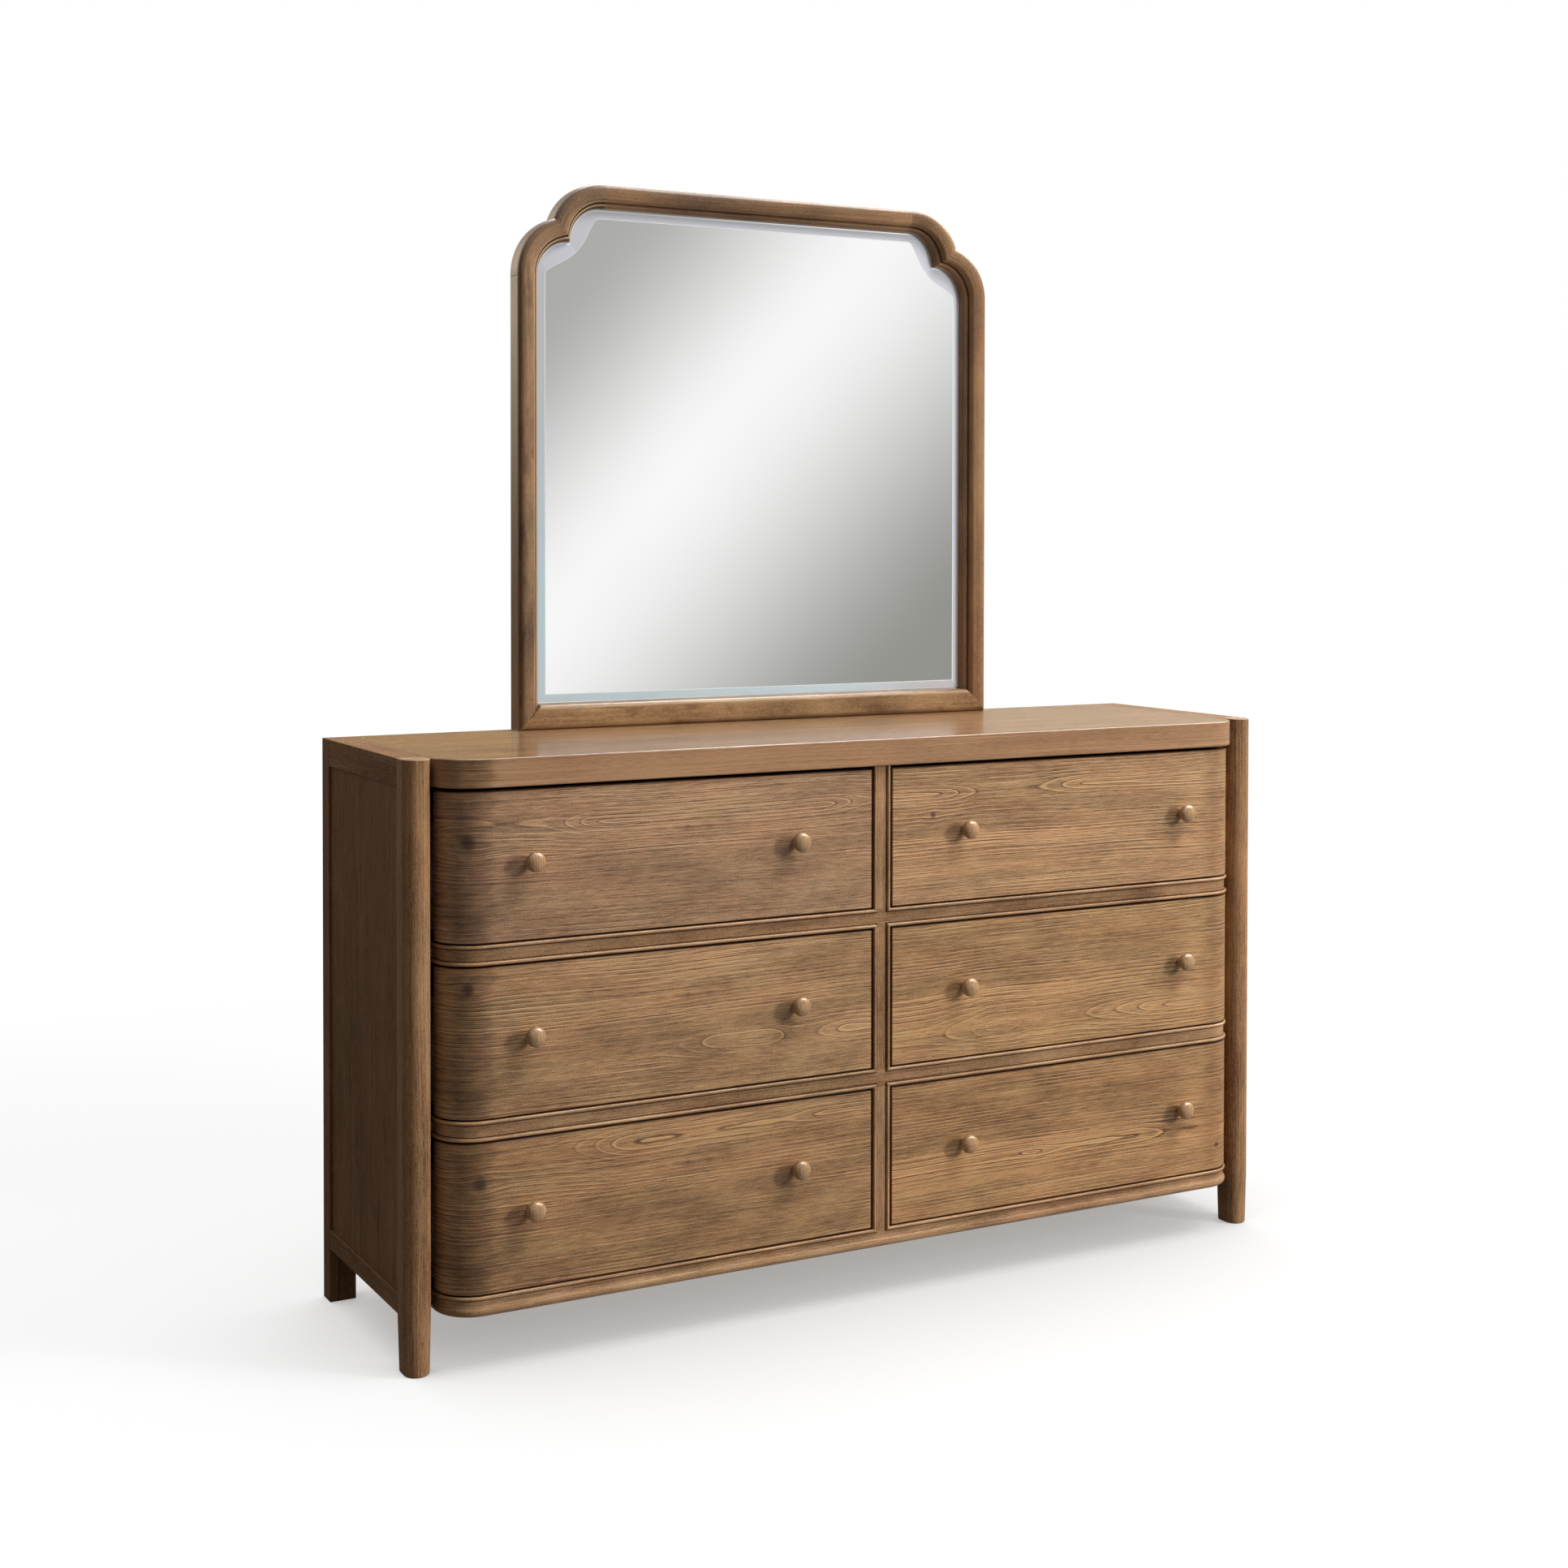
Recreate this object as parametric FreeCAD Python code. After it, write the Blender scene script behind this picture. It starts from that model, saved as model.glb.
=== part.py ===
"""Six-drawer dresser with rounded front corners and a landscape mirror standing on its top.

Millimetres, +Z up.  The front faces -Y, the left-hand side is at -X.  The origin is at floor
level in the middle of the bounding box.  Depths called "depth" count backwards from the front
edge of the top; y_at() turns a depth into a Y coordinate.
"""
import FreeCAD, Part
import math
import os

# ------------------------------------------------------------------ overall
WIDTH = 1651.0               # over the side frames
DEPTH = 457.0                # front edge of the top to the back faces of the rear posts
CASE_HEIGHT = 944.0          # floor to the upper face of the top
MIRROR_TOP = 1905.0          # floor to the top of the mirror
MIRROR_WIDTH = 972.0

# ------------------------------------------------------------------ posts and side frames
FRAME_T = 45.0               # thickness of the side frames, and width of the posts
FRONT_POST_SETBACK = 33.0    # front of the half-round post behind the edge of the top
FRONT_POST_DEPTH = 45.0
BACK_POST_DEPTH = 36.0
FOOT_TAPER = 2.0             # each side, from the underside of the case to the floor
FOOT_BEVEL = 2.5
SIDE_UNDERSIDE = 90.0        # floor to the lower side rails
SIDE_BOTTOM_RAIL_H = 32.0
SIDE_PANEL_T = 12.0
SIDE_PANEL_RECESS = 4.0
GROOVE_DEPTH = 8.0
GROOVE_GAP = 0.3             # play of a panel in its groove, each side

# ------------------------------------------------------------------ top
TOP_BUILT_H = 45.0           # height of the whole built-up edge
TOP_PANEL_T = 22.0
TOP_ARRIS = 2.5
CORNER_R = 68.0              # plan radius of the front corners of the top
CORNER_GAP = 3.5             # between the end of the top's front and the post

# ------------------------------------------------------------------ front rails and stiles
BEAD_SETBACK = 5.0           # crest of the beads behind the edge of the top
BEAD_D = 5.5
QUIRK_W = 1.8                # fine groove beside each bead
QUIRK_SINK = 2.0             # its depth below the flat
FLAT_SINK = 4.0              # flat of the rail behind the crest of the beads
RAIL_H = 31.5
STILE_W = 31.5
STILE_DEPTH = 22.0
FRONT_UNDERSIDE = 87.0       # floor to the bottom rail
BOTTOM_RAIL_H = 32.3
BOTTOM_ROLL_R = 9.0          # round moulding along the lower edge of the bottom rail
MOULD_ZONE = 15.0            # depth over which a rail's front is moulded
CORE_COVER = 1.0             # moulded wood behind the grooves, in front of the core
RAIL_TAB_DEPTH = 16.0        # end of a rail that reaches the post

# ------------------------------------------------------------------ drawers
ROWS = 3
GAP_UNDER_DRAWER = 2.5
GAP_OVER_DRAWER = 3.5
GAP_UNDER_TOP = 6.2
GAP_BESIDE_STILE = 4.2
DRAWER_SETBACK = 7.0         # face of the drawer fronts behind the edge of the top
DRAWER_FRONT_T = 20.0
DRAWER_SIDE_T = 14.0
DRAWER_BACK_T = 12.0
DRAWER_BOX_H = 165.0
DRAWER_BOX_RISE = 15.0       # lower edge of the sides above that of the front
DRAWER_BOTTOM_T = 6.0
DRAWER_BOTTOM_RISE = 10.0
DRAWER_GROOVE = 6.0
DRAWER_BACK_CLEARANCE = 14.0
KNOB_D = 32.0
KNOB_DOME_H = 10.5           # from the widest part of the head to its tip
KNOB_STEM_D = 15.0
KNOB_REACH = 30.0            # out from the drawer's face
KNOB_SPIGOT_D = 10.0
KNOB_SPIGOT_L = 12.0
KNOB_FROM_MIDDLE = 234.0     # each knob to the middle of the pair
KNOB_RISE = 6.5              # above the middle of the drawer's front
KNOB_PAIR_X = 399.0          # middle of the pair to the middle of the dresser

# ------------------------------------------------------------------ slides
SLIDE_SPACE = 13.0
SLIDE_H = 45.0
SLIDE_STEEL = 1.5
SLIDE_FLANGE = 10.0
SLIDE_GAP = 0.4              # between the flanges of the two channels
SLIDE_TIP_GAP = 1.5          # between the drawer's flanges and the case's web
SLIDE_LENGTH = 333.0
SLIDE_BEHIND_POST = 3.0
SLIDE_RISE = 75.0            # middle of the slide above the lower edge of the drawer's sides
CLEAT_H = 60.0

# ------------------------------------------------------------------ inside and back of the case
BOTTOM_PANEL_T = 12.0
BOTTOM_PANEL_Z = 98.0
BACK_PANEL_T = 6.0
BACK_RAIL_T = 22.0
BACK_RAIL_H = 60.0

# ------------------------------------------------------------------ mirror
MIRROR_SIGHT = 45.0          # width of the frame
MIRROR_FLAT_SIDE = 25.5      # flat of the outer side, from the back
MIRROR_CREST = 41.0          # height of the rounded face above the back
MIRROR_ROLL_W = 35.0         # from the outer side to the inner end of the rounded face
MIRROR_ROLL_R = 17.5         # inner half of the rounded face
MIRROR_ROLL_END = 14.0       # degrees above level at which it ends
MIRROR_FILLET_DROP = 1.8     # step down from it to the narrow flat
MIRROR_LIP_T = 20.5          # front of the inner lip above the back
MIRROR_REBATE_W = 8.0
MIRROR_REBATE_T = 10.0
LOBE_R = 103.0               # outer radius of the two lobes of each upper corner
LOBE_START = 165.0           # from the square corner to where a lobe starts
CORNER_JOINT = 6.0           # straight end of a corner piece past its lobe
GLASS_EDGE_T = 4.0           # glass where the frame holds it
GLASS_PLAY = 0.5
BEVEL_RISE = 2.0             # middle of the glass in front of its edge
BEVEL_W = 15.5               # width of the bevel along the straight sides
BEVEL_GAP = 0.5              # between the frame's lip and the start of the bevel
BEVEL_LOBE_R = 13.0          # bevel's inner line where it turns into a corner
BEVEL_LOBE_RUN = 33.0        # its straight run along a lobe
BEVEL_LOBE_SLOPE = 28.0      # degrees between that run and the level
BEVEL_TURN_SHARE = 0.3       # of the lip's lobe, opposite the turn
BEVEL_RUN_SHARE = 0.75       # of the lip's lobe, to the end of the run
BACKING_T = 4.0
SUPPORT_W = 70.0
SUPPORT_T = 18.0
SUPPORT_FROM_CORNER = 10.0   # edge of a support to the joint of the upper corner piece
SUPPORT_LAP = 300.0          # length of a support below the top of the case
SUPPORT_SHORT = 5.0          # end of a support below the top of the mirror
SCREW_D = 4.5
SCREW_HEAD_D = 9.0
SCREW_HEAD_H = 3.0
SCREW_L = 35.0
SCREW_SPREAD = 40.0

# ------------------------------------------------------------------ worked-out places
V = FreeCAD.Vector
X_AXIS, Y_AXIS, Z_AXIS = V(1, 0, 0), V(0, 1, 0), V(0, 0, 1)
ORIGIN = V(0, 0, 0)

FRONT_OVERHANG = KNOB_REACH - DRAWER_SETBACK          # of the knobs, past the edge of the top
TOTAL_DEPTH = FRONT_OVERHANG + DEPTH + SUPPORT_T
FRONT_Y = FRONT_OVERHANG - TOTAL_DEPTH / 2

HALF_W = WIDTH / 2
INNER_X = HALF_W - FRAME_T                            # inner faces of the posts
CORNER_X = INNER_X - CORNER_GAP - CORNER_R            # centres of the front corners
POST_BACK = FRONT_POST_SETBACK + FRONT_POST_DEPTH
REAR_POST_FRONT = DEPTH - BACK_POST_DEPTH
BACK_PANEL_FRONT = DEPTH - BACK_PANEL_T
BACK_RAIL_FRONT = BACK_PANEL_FRONT - BACK_RAIL_T
TOP_UNDERSIDE = CASE_HEIGHT - TOP_BUILT_H
TOP_PANEL_Z = CASE_HEIGHT - TOP_PANEL_T
PANEL_OUTER_X = HALF_W - SIDE_PANEL_RECESS
PANEL_INNER_X = PANEL_OUTER_X - SIDE_PANEL_T

FLAT_DEPTH = BEAD_SETBACK + FLAT_SINK
MOULD_W = BEAD_D + QUIRK_W                            # a bead with its groove
CORE_SETBACK = FLAT_DEPTH + QUIRK_SINK + CORE_COVER   # front of the board behind the mouldings
STILE_BACK = BEAD_SETBACK + STILE_DEPTH
BOTTOM_RAIL_TOP = FRONT_UNDERSIDE + BOTTOM_RAIL_H
STACK_H = TOP_UNDERSIDE - GAP_UNDER_TOP - BOTTOM_RAIL_TOP
ROW_GAPS = ROWS * GAP_UNDER_DRAWER + (ROWS - 1) * (GAP_OVER_DRAWER + RAIL_H)
DRAWER_H = (STACK_H - ROW_GAPS) / ROWS
PITCH = GAP_UNDER_DRAWER + DRAWER_H + GAP_OVER_DRAWER + RAIL_H
DRAWER_Z = [BOTTOM_RAIL_TOP + GAP_UNDER_DRAWER + row * PITCH for row in range(ROWS)]
RAIL_Z = [z + DRAWER_H + GAP_OVER_DRAWER for z in DRAWER_Z[:-1]]

DRAWER_INNER_X = STILE_W / 2 + GAP_BESIDE_STILE       # straight end of a drawer's front
DRAWER_BACK = DRAWER_SETBACK + DRAWER_FRONT_T         # depth of the inner face of a front
BOX_BACK = BACK_RAIL_FRONT - DRAWER_BACK_CLEARANCE
PARTITION_T = STILE_W                                 # so that the slides run clear of the stiles
BOX_OUT_X = INNER_X - SLIDE_SPACE                     # outer face of a drawer's outer side
BOX_IN_X = PARTITION_T / 2 + SLIDE_SPACE              # outer face of its inner side
SLIDE_FRONT = POST_BACK + SLIDE_BEHIND_POST

MIRROR_HALF = MIRROR_WIDTH / 2
JOINT_DROP = LOBE_START + CORNER_JOINT                # square corner to the end of a corner piece
SUPPORT_X = MIRROR_HALF - JOINT_DROP - SUPPORT_FROM_CORNER - SUPPORT_W / 2
GLASS_INSET = MIRROR_SIGHT - MIRROR_REBATE_W + GLASS_PLAY


# ------------------------------------------------------------------ making solids
def y_at(depth):
    """Y coordinate of a depth behind the front edge of the top."""
    return FRONT_Y + depth


def block(x0, x1, depth0, depth1, z0, z1):
    """A rectangular block between two X values, two depths and two heights."""
    return Part.makeBox(x1 - x0, depth1 - depth0, z1 - z0, V(x0, y_at(depth0), z0))


def mirrored(shape):
    """The left-hand copy of a right-hand shape."""
    return shape.mirror(ORIGIN, X_AXIS)


def joined(first, *others):
    """Several touching or overlapping solids as one clean solid."""
    return first.fuse(list(others)).removeSplitter()


def closed_face(edges):
    """A face inside a closed run of edges."""
    return Part.Face(Part.Wire(edges))


def line(a, b):
    """A straight edge."""
    return Part.LineSegment(a, b).toShape()


def arc(centre, radius, start, mid, end, u, v):
    """An arc edge about centre, in the plane of u and v, through three angles in degrees."""
    def at(angle):
        turn = math.radians(angle)
        return centre + u * (radius * math.cos(turn)) + v * (radius * math.sin(turn))
    return Part.Arc(at(start), at(mid), at(end)).toShape()


def front_board(front, back, z0, z1):
    """A board whose front edge follows the rounded corners, front mm behind the top's edge."""
    radius = CORNER_R - front
    right = V(CORNER_X, y_at(CORNER_R), z0)
    left = V(-CORNER_X, y_at(CORNER_R), z0)
    run = [
        line(V(-CORNER_X - radius, y_at(back), z0), left - X_AXIS * radius),
        arc(left, radius, 180, 225, 270, X_AXIS, Y_AXIS),
        line(left - Y_AXIS * radius, right - Y_AXIS * radius),
        arc(right, radius, 270, 315, 360, X_AXIS, Y_AXIS),
        line(right + X_AXIS * radius, V(CORNER_X + radius, y_at(back), z0)),
        line(V(CORNER_X + radius, y_at(back), z0), V(-CORNER_X - radius, y_at(back), z0)),
    ]
    return closed_face(run).extrude(Z_AXIS * (z1 - z0))


def along_front(section, back):
    """Carries a section, drawn at x = CORNER_X, round both corners and back to a depth."""
    centre = V(CORNER_X, y_at(CORNER_R), 0)
    corner = section.revolve(centre, Z_AXIS, 90)
    turned = section.copy()
    turned.rotate(centre, Z_AXIS, 90)
    end = turned.extrude(Y_AXIS * (back - CORNER_R))
    straight = section.extrude(X_AXIS * (-2 * CORNER_X))
    return joined(straight, corner, end, mirrored(corner), mirrored(end))


def section_point(depth, z):
    """A point of a section that along_front() carries."""
    return V(CORNER_X, y_at(depth), z)


def rail_tabs(z0, z1):
    """The ends of a rail that reach the posts."""
    right = block(CORNER_X, INNER_X, POST_BACK - RAIL_TAB_DEPTH, POST_BACK, z0, z1)
    return right, mirrored(right)


def save(node, *solids):
    """Writes one node as a STEP file with its solids."""
    shape = solids[0] if len(solids) == 1 else Part.makeCompound(list(solids))
    shape.exportStep(os.path.join("parts", node + ".step"))


os.makedirs("parts", exist_ok=True)


# ------------------------------------------------------------------ front posts
def post_face(inset, z):
    """Plan of a right-hand front post, half-round in front, drawn smaller by inset."""
    radius = FRAME_T / 2 - inset
    centre = V(HALF_W - FRAME_T / 2, y_at(FRONT_POST_SETBACK + FRAME_T / 2), z)
    rear = Y_AXIS * (FRONT_POST_DEPTH - FRAME_T / 2 - inset)
    left, right = centre - X_AXIS * radius, centre + X_AXIS * radius
    return Part.Wire([
        line(left + rear, left),
        arc(centre, radius, 180, 270, 360, X_AXIS, Y_AXIS),
        line(right, right + rear),
        line(right + rear, left + rear),
    ])


side_groove = block(PANEL_INNER_X - GROOVE_GAP, PANEL_OUTER_X + GROOVE_GAP,
                    POST_BACK - GROOVE_DEPTH - GROOVE_GAP,
                    REAR_POST_FRONT + GROOVE_DEPTH + GROOVE_GAP,
                    SIDE_UNDERSIDE + SIDE_BOTTOM_RAIL_H - GROOVE_DEPTH - GROOVE_GAP,
                    TOP_UNDERSIDE + GROOVE_DEPTH + GROOVE_GAP)
post_shaft = Part.makeLoft([post_face(0, SIDE_UNDERSIDE), post_face(0, CASE_HEIGHT)], True, True)
post_foot = Part.makeLoft([post_face(FOOT_TAPER, FOOT_BEVEL), post_face(0, SIDE_UNDERSIDE)], True, True)
post_toe = Part.makeLoft([post_face(FOOT_TAPER + FOOT_BEVEL, 0), post_face(FOOT_TAPER, FOOT_BEVEL)],
                         True, True)
front_post = post_shaft.fuse([post_foot, post_toe]).cut(side_groove)
save("front_post_right", front_post)
save("front_post_left", mirrored(front_post))

# ------------------------------------------------------------------ back posts
back_post = block(INNER_X, HALF_W, REAR_POST_FRONT, DEPTH, 0, CASE_HEIGHT).cut(side_groove)
save("back_post_right", back_post)
save("back_post_left", mirrored(back_post))

# ------------------------------------------------------------------ side rails and panels
side_top_rail = block(INNER_X, HALF_W, POST_BACK, REAR_POST_FRONT, TOP_UNDERSIDE, CASE_HEIGHT)
side_top_rail = side_top_rail.cut(side_groove)
side_bottom_rail = block(INNER_X, HALF_W, POST_BACK, REAR_POST_FRONT,
                         SIDE_UNDERSIDE, SIDE_UNDERSIDE + SIDE_BOTTOM_RAIL_H).cut(side_groove)
side_panel = block(PANEL_INNER_X, PANEL_OUTER_X,
                   POST_BACK - GROOVE_DEPTH, REAR_POST_FRONT + GROOVE_DEPTH,
                   SIDE_UNDERSIDE + SIDE_BOTTOM_RAIL_H - GROOVE_DEPTH, TOP_UNDERSIDE + GROOVE_DEPTH)
save("side_top_rails", side_top_rail, mirrored(side_top_rail))
save("side_bottom_rails", side_bottom_rail, mirrored(side_bottom_rail))
save("side_panels", side_panel, mirrored(side_panel))


# ------------------------------------------------------------------ top
def rounded_edge(back, z0, z1, round_z):
    """Section of a board's front edge, with the corner at round_z rounded by TOP_ARRIS."""
    up = 1 if round_z == z1 else -1
    far_z = z0 if up > 0 else z1
    centre = section_point(TOP_ARRIS, round_z - up * TOP_ARRIS)
    near, edge = section_point(TOP_ARRIS, round_z), section_point(0, round_z - up * TOP_ARRIS)
    return closed_face([
        line(section_point(back, far_z), section_point(0, far_z)),
        line(section_point(0, far_z), edge),
        arc(centre, TOP_ARRIS, 180, 135, 90, Y_AXIS, Z_AXIS * up),
        line(near, section_point(back, round_z)),
        line(section_point(back, round_z), section_point(back, far_z)),
    ])


top_edge = along_front(rounded_edge(MOULD_ZONE, TOP_PANEL_Z, CASE_HEIGHT, CASE_HEIGHT), POST_BACK)
top_front = front_board(MOULD_ZONE - TOP_ARRIS, POST_BACK, TOP_PANEL_Z, CASE_HEIGHT)
top_rear = block(-INNER_X, INNER_X, POST_BACK, DEPTH, TOP_PANEL_Z, CASE_HEIGHT)
save("top_panel", joined(top_edge, top_front, top_rear))

band_edge = along_front(rounded_edge(MOULD_ZONE, TOP_UNDERSIDE, TOP_PANEL_Z, TOP_UNDERSIDE), POST_BACK)
band_board = front_board(MOULD_ZONE - TOP_ARRIS, POST_BACK, TOP_UNDERSIDE, TOP_PANEL_Z)
band_tabs = rail_tabs(TOP_UNDERSIDE + TOP_ARRIS, TOP_PANEL_Z)
save("top_front_band", joined(band_edge, band_board, *band_tabs))


# ------------------------------------------------------------------ front rails
def bead_edges(edge, inward, point, u):
    """Edges of a bead and its groove, from the rail's edge inwards.

    edge is the coordinate of the rail's edge, inward is +1 or -1, point(depth, w) places a
    point, and u is the direction along which w counts.
    """
    radius = BEAD_D / 2
    start = edge
    end = edge + inward * BEAD_D
    quirk = end + inward * QUIRK_W
    root = BEAD_SETBACK + radius
    floor = FLAT_DEPTH + QUIRK_SINK
    centre = point(root, edge + inward * radius)
    return [
        arc(centre, radius, 180, 90, 0, u * inward, Y_AXIS * -1),
        line(point(root, end), point(floor, end)),
        line(point(floor, end), point(floor, quirk)),
        line(point(floor, quirk), point(FLAT_DEPTH, quirk)),
    ], point(root, start), point(FLAT_DEPTH, quirk)


def beaded_face(low, high, back, point, u):
    """Section with a bead along each edge and a flat between them."""
    lower, low_start, low_end = bead_edges(low, 1, point, u)
    upper, high_start, high_end = bead_edges(high, -1, point, u)
    return closed_face(
        [line(point(back, low), low_start)] + lower + [line(low_end, high_end)]
        + upper[::-1] + [line(high_start, point(back, high)), line(point(back, high), point(back, low))])


def stile_point(depth, x):
    """A point of the stile's section, in plan at floor level."""
    return V(x, y_at(depth), 0)


def prism_xz(corners, front, back):
    """An upright prism over (x, z) corners, between two depths."""
    points = [V(x, y_at(front), z) for x, z in corners]
    edges = [line(a, b) for a, b in zip(points, points[1:] + points[:1])]
    return closed_face(edges).extrude(Y_AXIS * (back - front))


def crossed_rail(mould, board, tabs, crossing):
    """A moulded rail whose beads turn up and down into the stile's at mitred corners."""
    z0, z1 = board.BoundBox.ZMin, board.BoundBox.ZMax
    stile = beaded_face(-STILE_W / 2, STILE_W / 2, MOULD_ZONE, stile_point, X_AXIS)
    stile = stile.extrude(Z_AXIS * (z1 - z0))
    stile.translate(Z_AXIS * z0)
    window = prism_xz(crossing, 0, MOULD_ZONE)
    return joined(mould.cut(window), stile.common(window), board, *tabs)


HALF_STILE = STILE_W / 2
HALF_FLAT = HALF_STILE - MOULD_W


def make_middle_rail(z0):
    """One of the two rails between the rows of drawers."""
    z1 = z0 + RAIL_H
    mould = along_front(beaded_face(z0, z1, MOULD_ZONE, section_point, Z_AXIS), POST_BACK)
    board = front_board(CORE_SETBACK, POST_BACK, z0, z1)
    crossing = [(-HALF_STILE, z1), (-HALF_FLAT, z1 - MOULD_W), (-HALF_FLAT, z0 + MOULD_W),
                (-HALF_STILE, z0), (HALF_STILE, z0), (HALF_FLAT, z0 + MOULD_W),
                (HALF_FLAT, z1 - MOULD_W), (HALF_STILE, z1)]
    return crossed_rail(mould, board, rail_tabs(z0 + MOULD_W, z1 - MOULD_W), crossing)


save("front_rail_lower", make_middle_rail(RAIL_Z[0]))
save("front_rail_upper", make_middle_rail(RAIL_Z[1]))

# The bottom rail has a bead along its upper edge and a round moulding along its lower edge.
roll_z = FRONT_UNDERSIDE + BOTTOM_ROLL_R
roll_centre = section_point(BEAD_SETBACK + BOTTOM_ROLL_R, roll_z)
roll_top = section_point(BEAD_SETBACK + BOTTOM_ROLL_R * (1 - math.cos(math.radians(45))),
                         roll_z + BOTTOM_ROLL_R * math.sin(math.radians(45)))
bead_run, bead_start, bead_end = bead_edges(BOTTOM_RAIL_TOP, -1, section_point, Z_AXIS)
neck_z = (roll_top.z + bead_end.z) / 2
bottom_section = closed_face(
    [line(section_point(MOULD_ZONE, BOTTOM_RAIL_TOP), bead_start)] + bead_run
    + [line(bead_end, section_point(FLAT_DEPTH, neck_z)),
       line(section_point(FLAT_DEPTH, neck_z), roll_top),
       arc(roll_centre, BOTTOM_ROLL_R, 45, 0, -90, Y_AXIS * -1, Z_AXIS),
       line(section_point(BEAD_SETBACK + BOTTOM_ROLL_R, FRONT_UNDERSIDE),
            section_point(MOULD_ZONE, FRONT_UNDERSIDE)),
       line(section_point(MOULD_ZONE, FRONT_UNDERSIDE), section_point(MOULD_ZONE, BOTTOM_RAIL_TOP))])
bottom_board = front_board(CORE_SETBACK, POST_BACK,
                           FRONT_UNDERSIDE + BOTTOM_ROLL_R, BOTTOM_RAIL_TOP)
bottom_core = front_board(BEAD_SETBACK + BOTTOM_ROLL_R, POST_BACK,
                          FRONT_UNDERSIDE, FRONT_UNDERSIDE + BOTTOM_ROLL_R)
bottom_crossing = [(-HALF_STILE, BOTTOM_RAIL_TOP), (-HALF_FLAT, BOTTOM_RAIL_TOP - MOULD_W),
                   (HALF_FLAT, BOTTOM_RAIL_TOP - MOULD_W), (HALF_STILE, BOTTOM_RAIL_TOP)]
save("bottom_rail", crossed_rail(
    along_front(bottom_section, POST_BACK), joined(bottom_board, bottom_core),
    rail_tabs(FRONT_UNDERSIDE + BOTTOM_ROLL_R, BOTTOM_RAIL_TOP - MOULD_W), bottom_crossing))

# ------------------------------------------------------------------ centre stiles
stile_ends = zip([BOTTOM_RAIL_TOP] + [z + RAIL_H for z in RAIL_Z], RAIL_Z + [TOP_UNDERSIDE])
stiles = []
for z0, z1 in stile_ends:
    piece = beaded_face(-HALF_STILE, HALF_STILE, STILE_BACK, stile_point, X_AXIS)
    piece = piece.extrude(Z_AXIS * (z1 - z0))
    piece.translate(Z_AXIS * z0)
    stiles.append(piece)
save("centre_stiles", *stiles)

# ------------------------------------------------------------------ inside of the case
BOTTOM_PANEL_TOP = BOTTOM_PANEL_Z + BOTTOM_PANEL_T
partition = block(-PARTITION_T / 2, PARTITION_T / 2, STILE_BACK, BACK_RAIL_FRONT,
                  BOTTOM_PANEL_TOP, TOP_PANEL_Z)
notches = [block(-HALF_STILE, HALF_STILE, 0, POST_BACK, z, z + RAIL_H) for z in RAIL_Z]
notches.append(block(-HALF_STILE, HALF_STILE, 0, POST_BACK, FRONT_UNDERSIDE, BOTTOM_RAIL_TOP))
notches.append(block(-HALF_STILE, HALF_STILE, 0, POST_BACK, TOP_UNDERSIDE, TOP_PANEL_Z))
save("centre_partition", partition.cut(notches))
save("bottom_panel", block(-INNER_X, INNER_X, POST_BACK, BACK_RAIL_FRONT,
                           BOTTOM_PANEL_Z, BOTTOM_PANEL_TOP))

# ------------------------------------------------------------------ mirror supports' screws
BACK_FACE = DEPTH + SUPPORT_T
SCREW_HEIGHTS = (TOP_PANEL_Z - BACK_RAIL_H / 2,
                 CASE_HEIGHT + (MIRROR_SIGHT - MIRROR_REBATE_W) / 2,
                 MIRROR_TOP - (MIRROR_SIGHT - MIRROR_REBATE_W) / 2)


def make_screw(x, z):
    """A screw driven forwards, its head sunk flush with the back of the support."""
    head = Part.makeCylinder(SCREW_HEAD_D / 2, SCREW_HEAD_H, V(x, y_at(BACK_FACE), z), Y_AXIS * -1)
    shank = Part.makeCylinder(SCREW_D / 2, SCREW_L, V(x, y_at(BACK_FACE - SCREW_HEAD_H), z),
                              Y_AXIS * -1)
    return joined(head, shank)


screws = [make_screw(side * SUPPORT_X + shift * SCREW_SPREAD / 2, z)
          for side in (-1, 1) for shift in (-1, 1) for z in SCREW_HEIGHTS]
save("support_screws", *screws)

# ------------------------------------------------------------------ back of the case
back_rails = [block(-INNER_X, INNER_X, BACK_RAIL_FRONT, BACK_PANEL_FRONT, z, z + BACK_RAIL_H)
              for z in (SIDE_UNDERSIDE, TOP_PANEL_Z - BACK_RAIL_H)]
save("back_rails", *[rail.cut(screws) for rail in back_rails])
back_panel = block(-INNER_X, INNER_X, BACK_PANEL_FRONT, DEPTH, SIDE_UNDERSIDE, TOP_PANEL_Z)
save("back_panel", back_panel.cut(screws))


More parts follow.
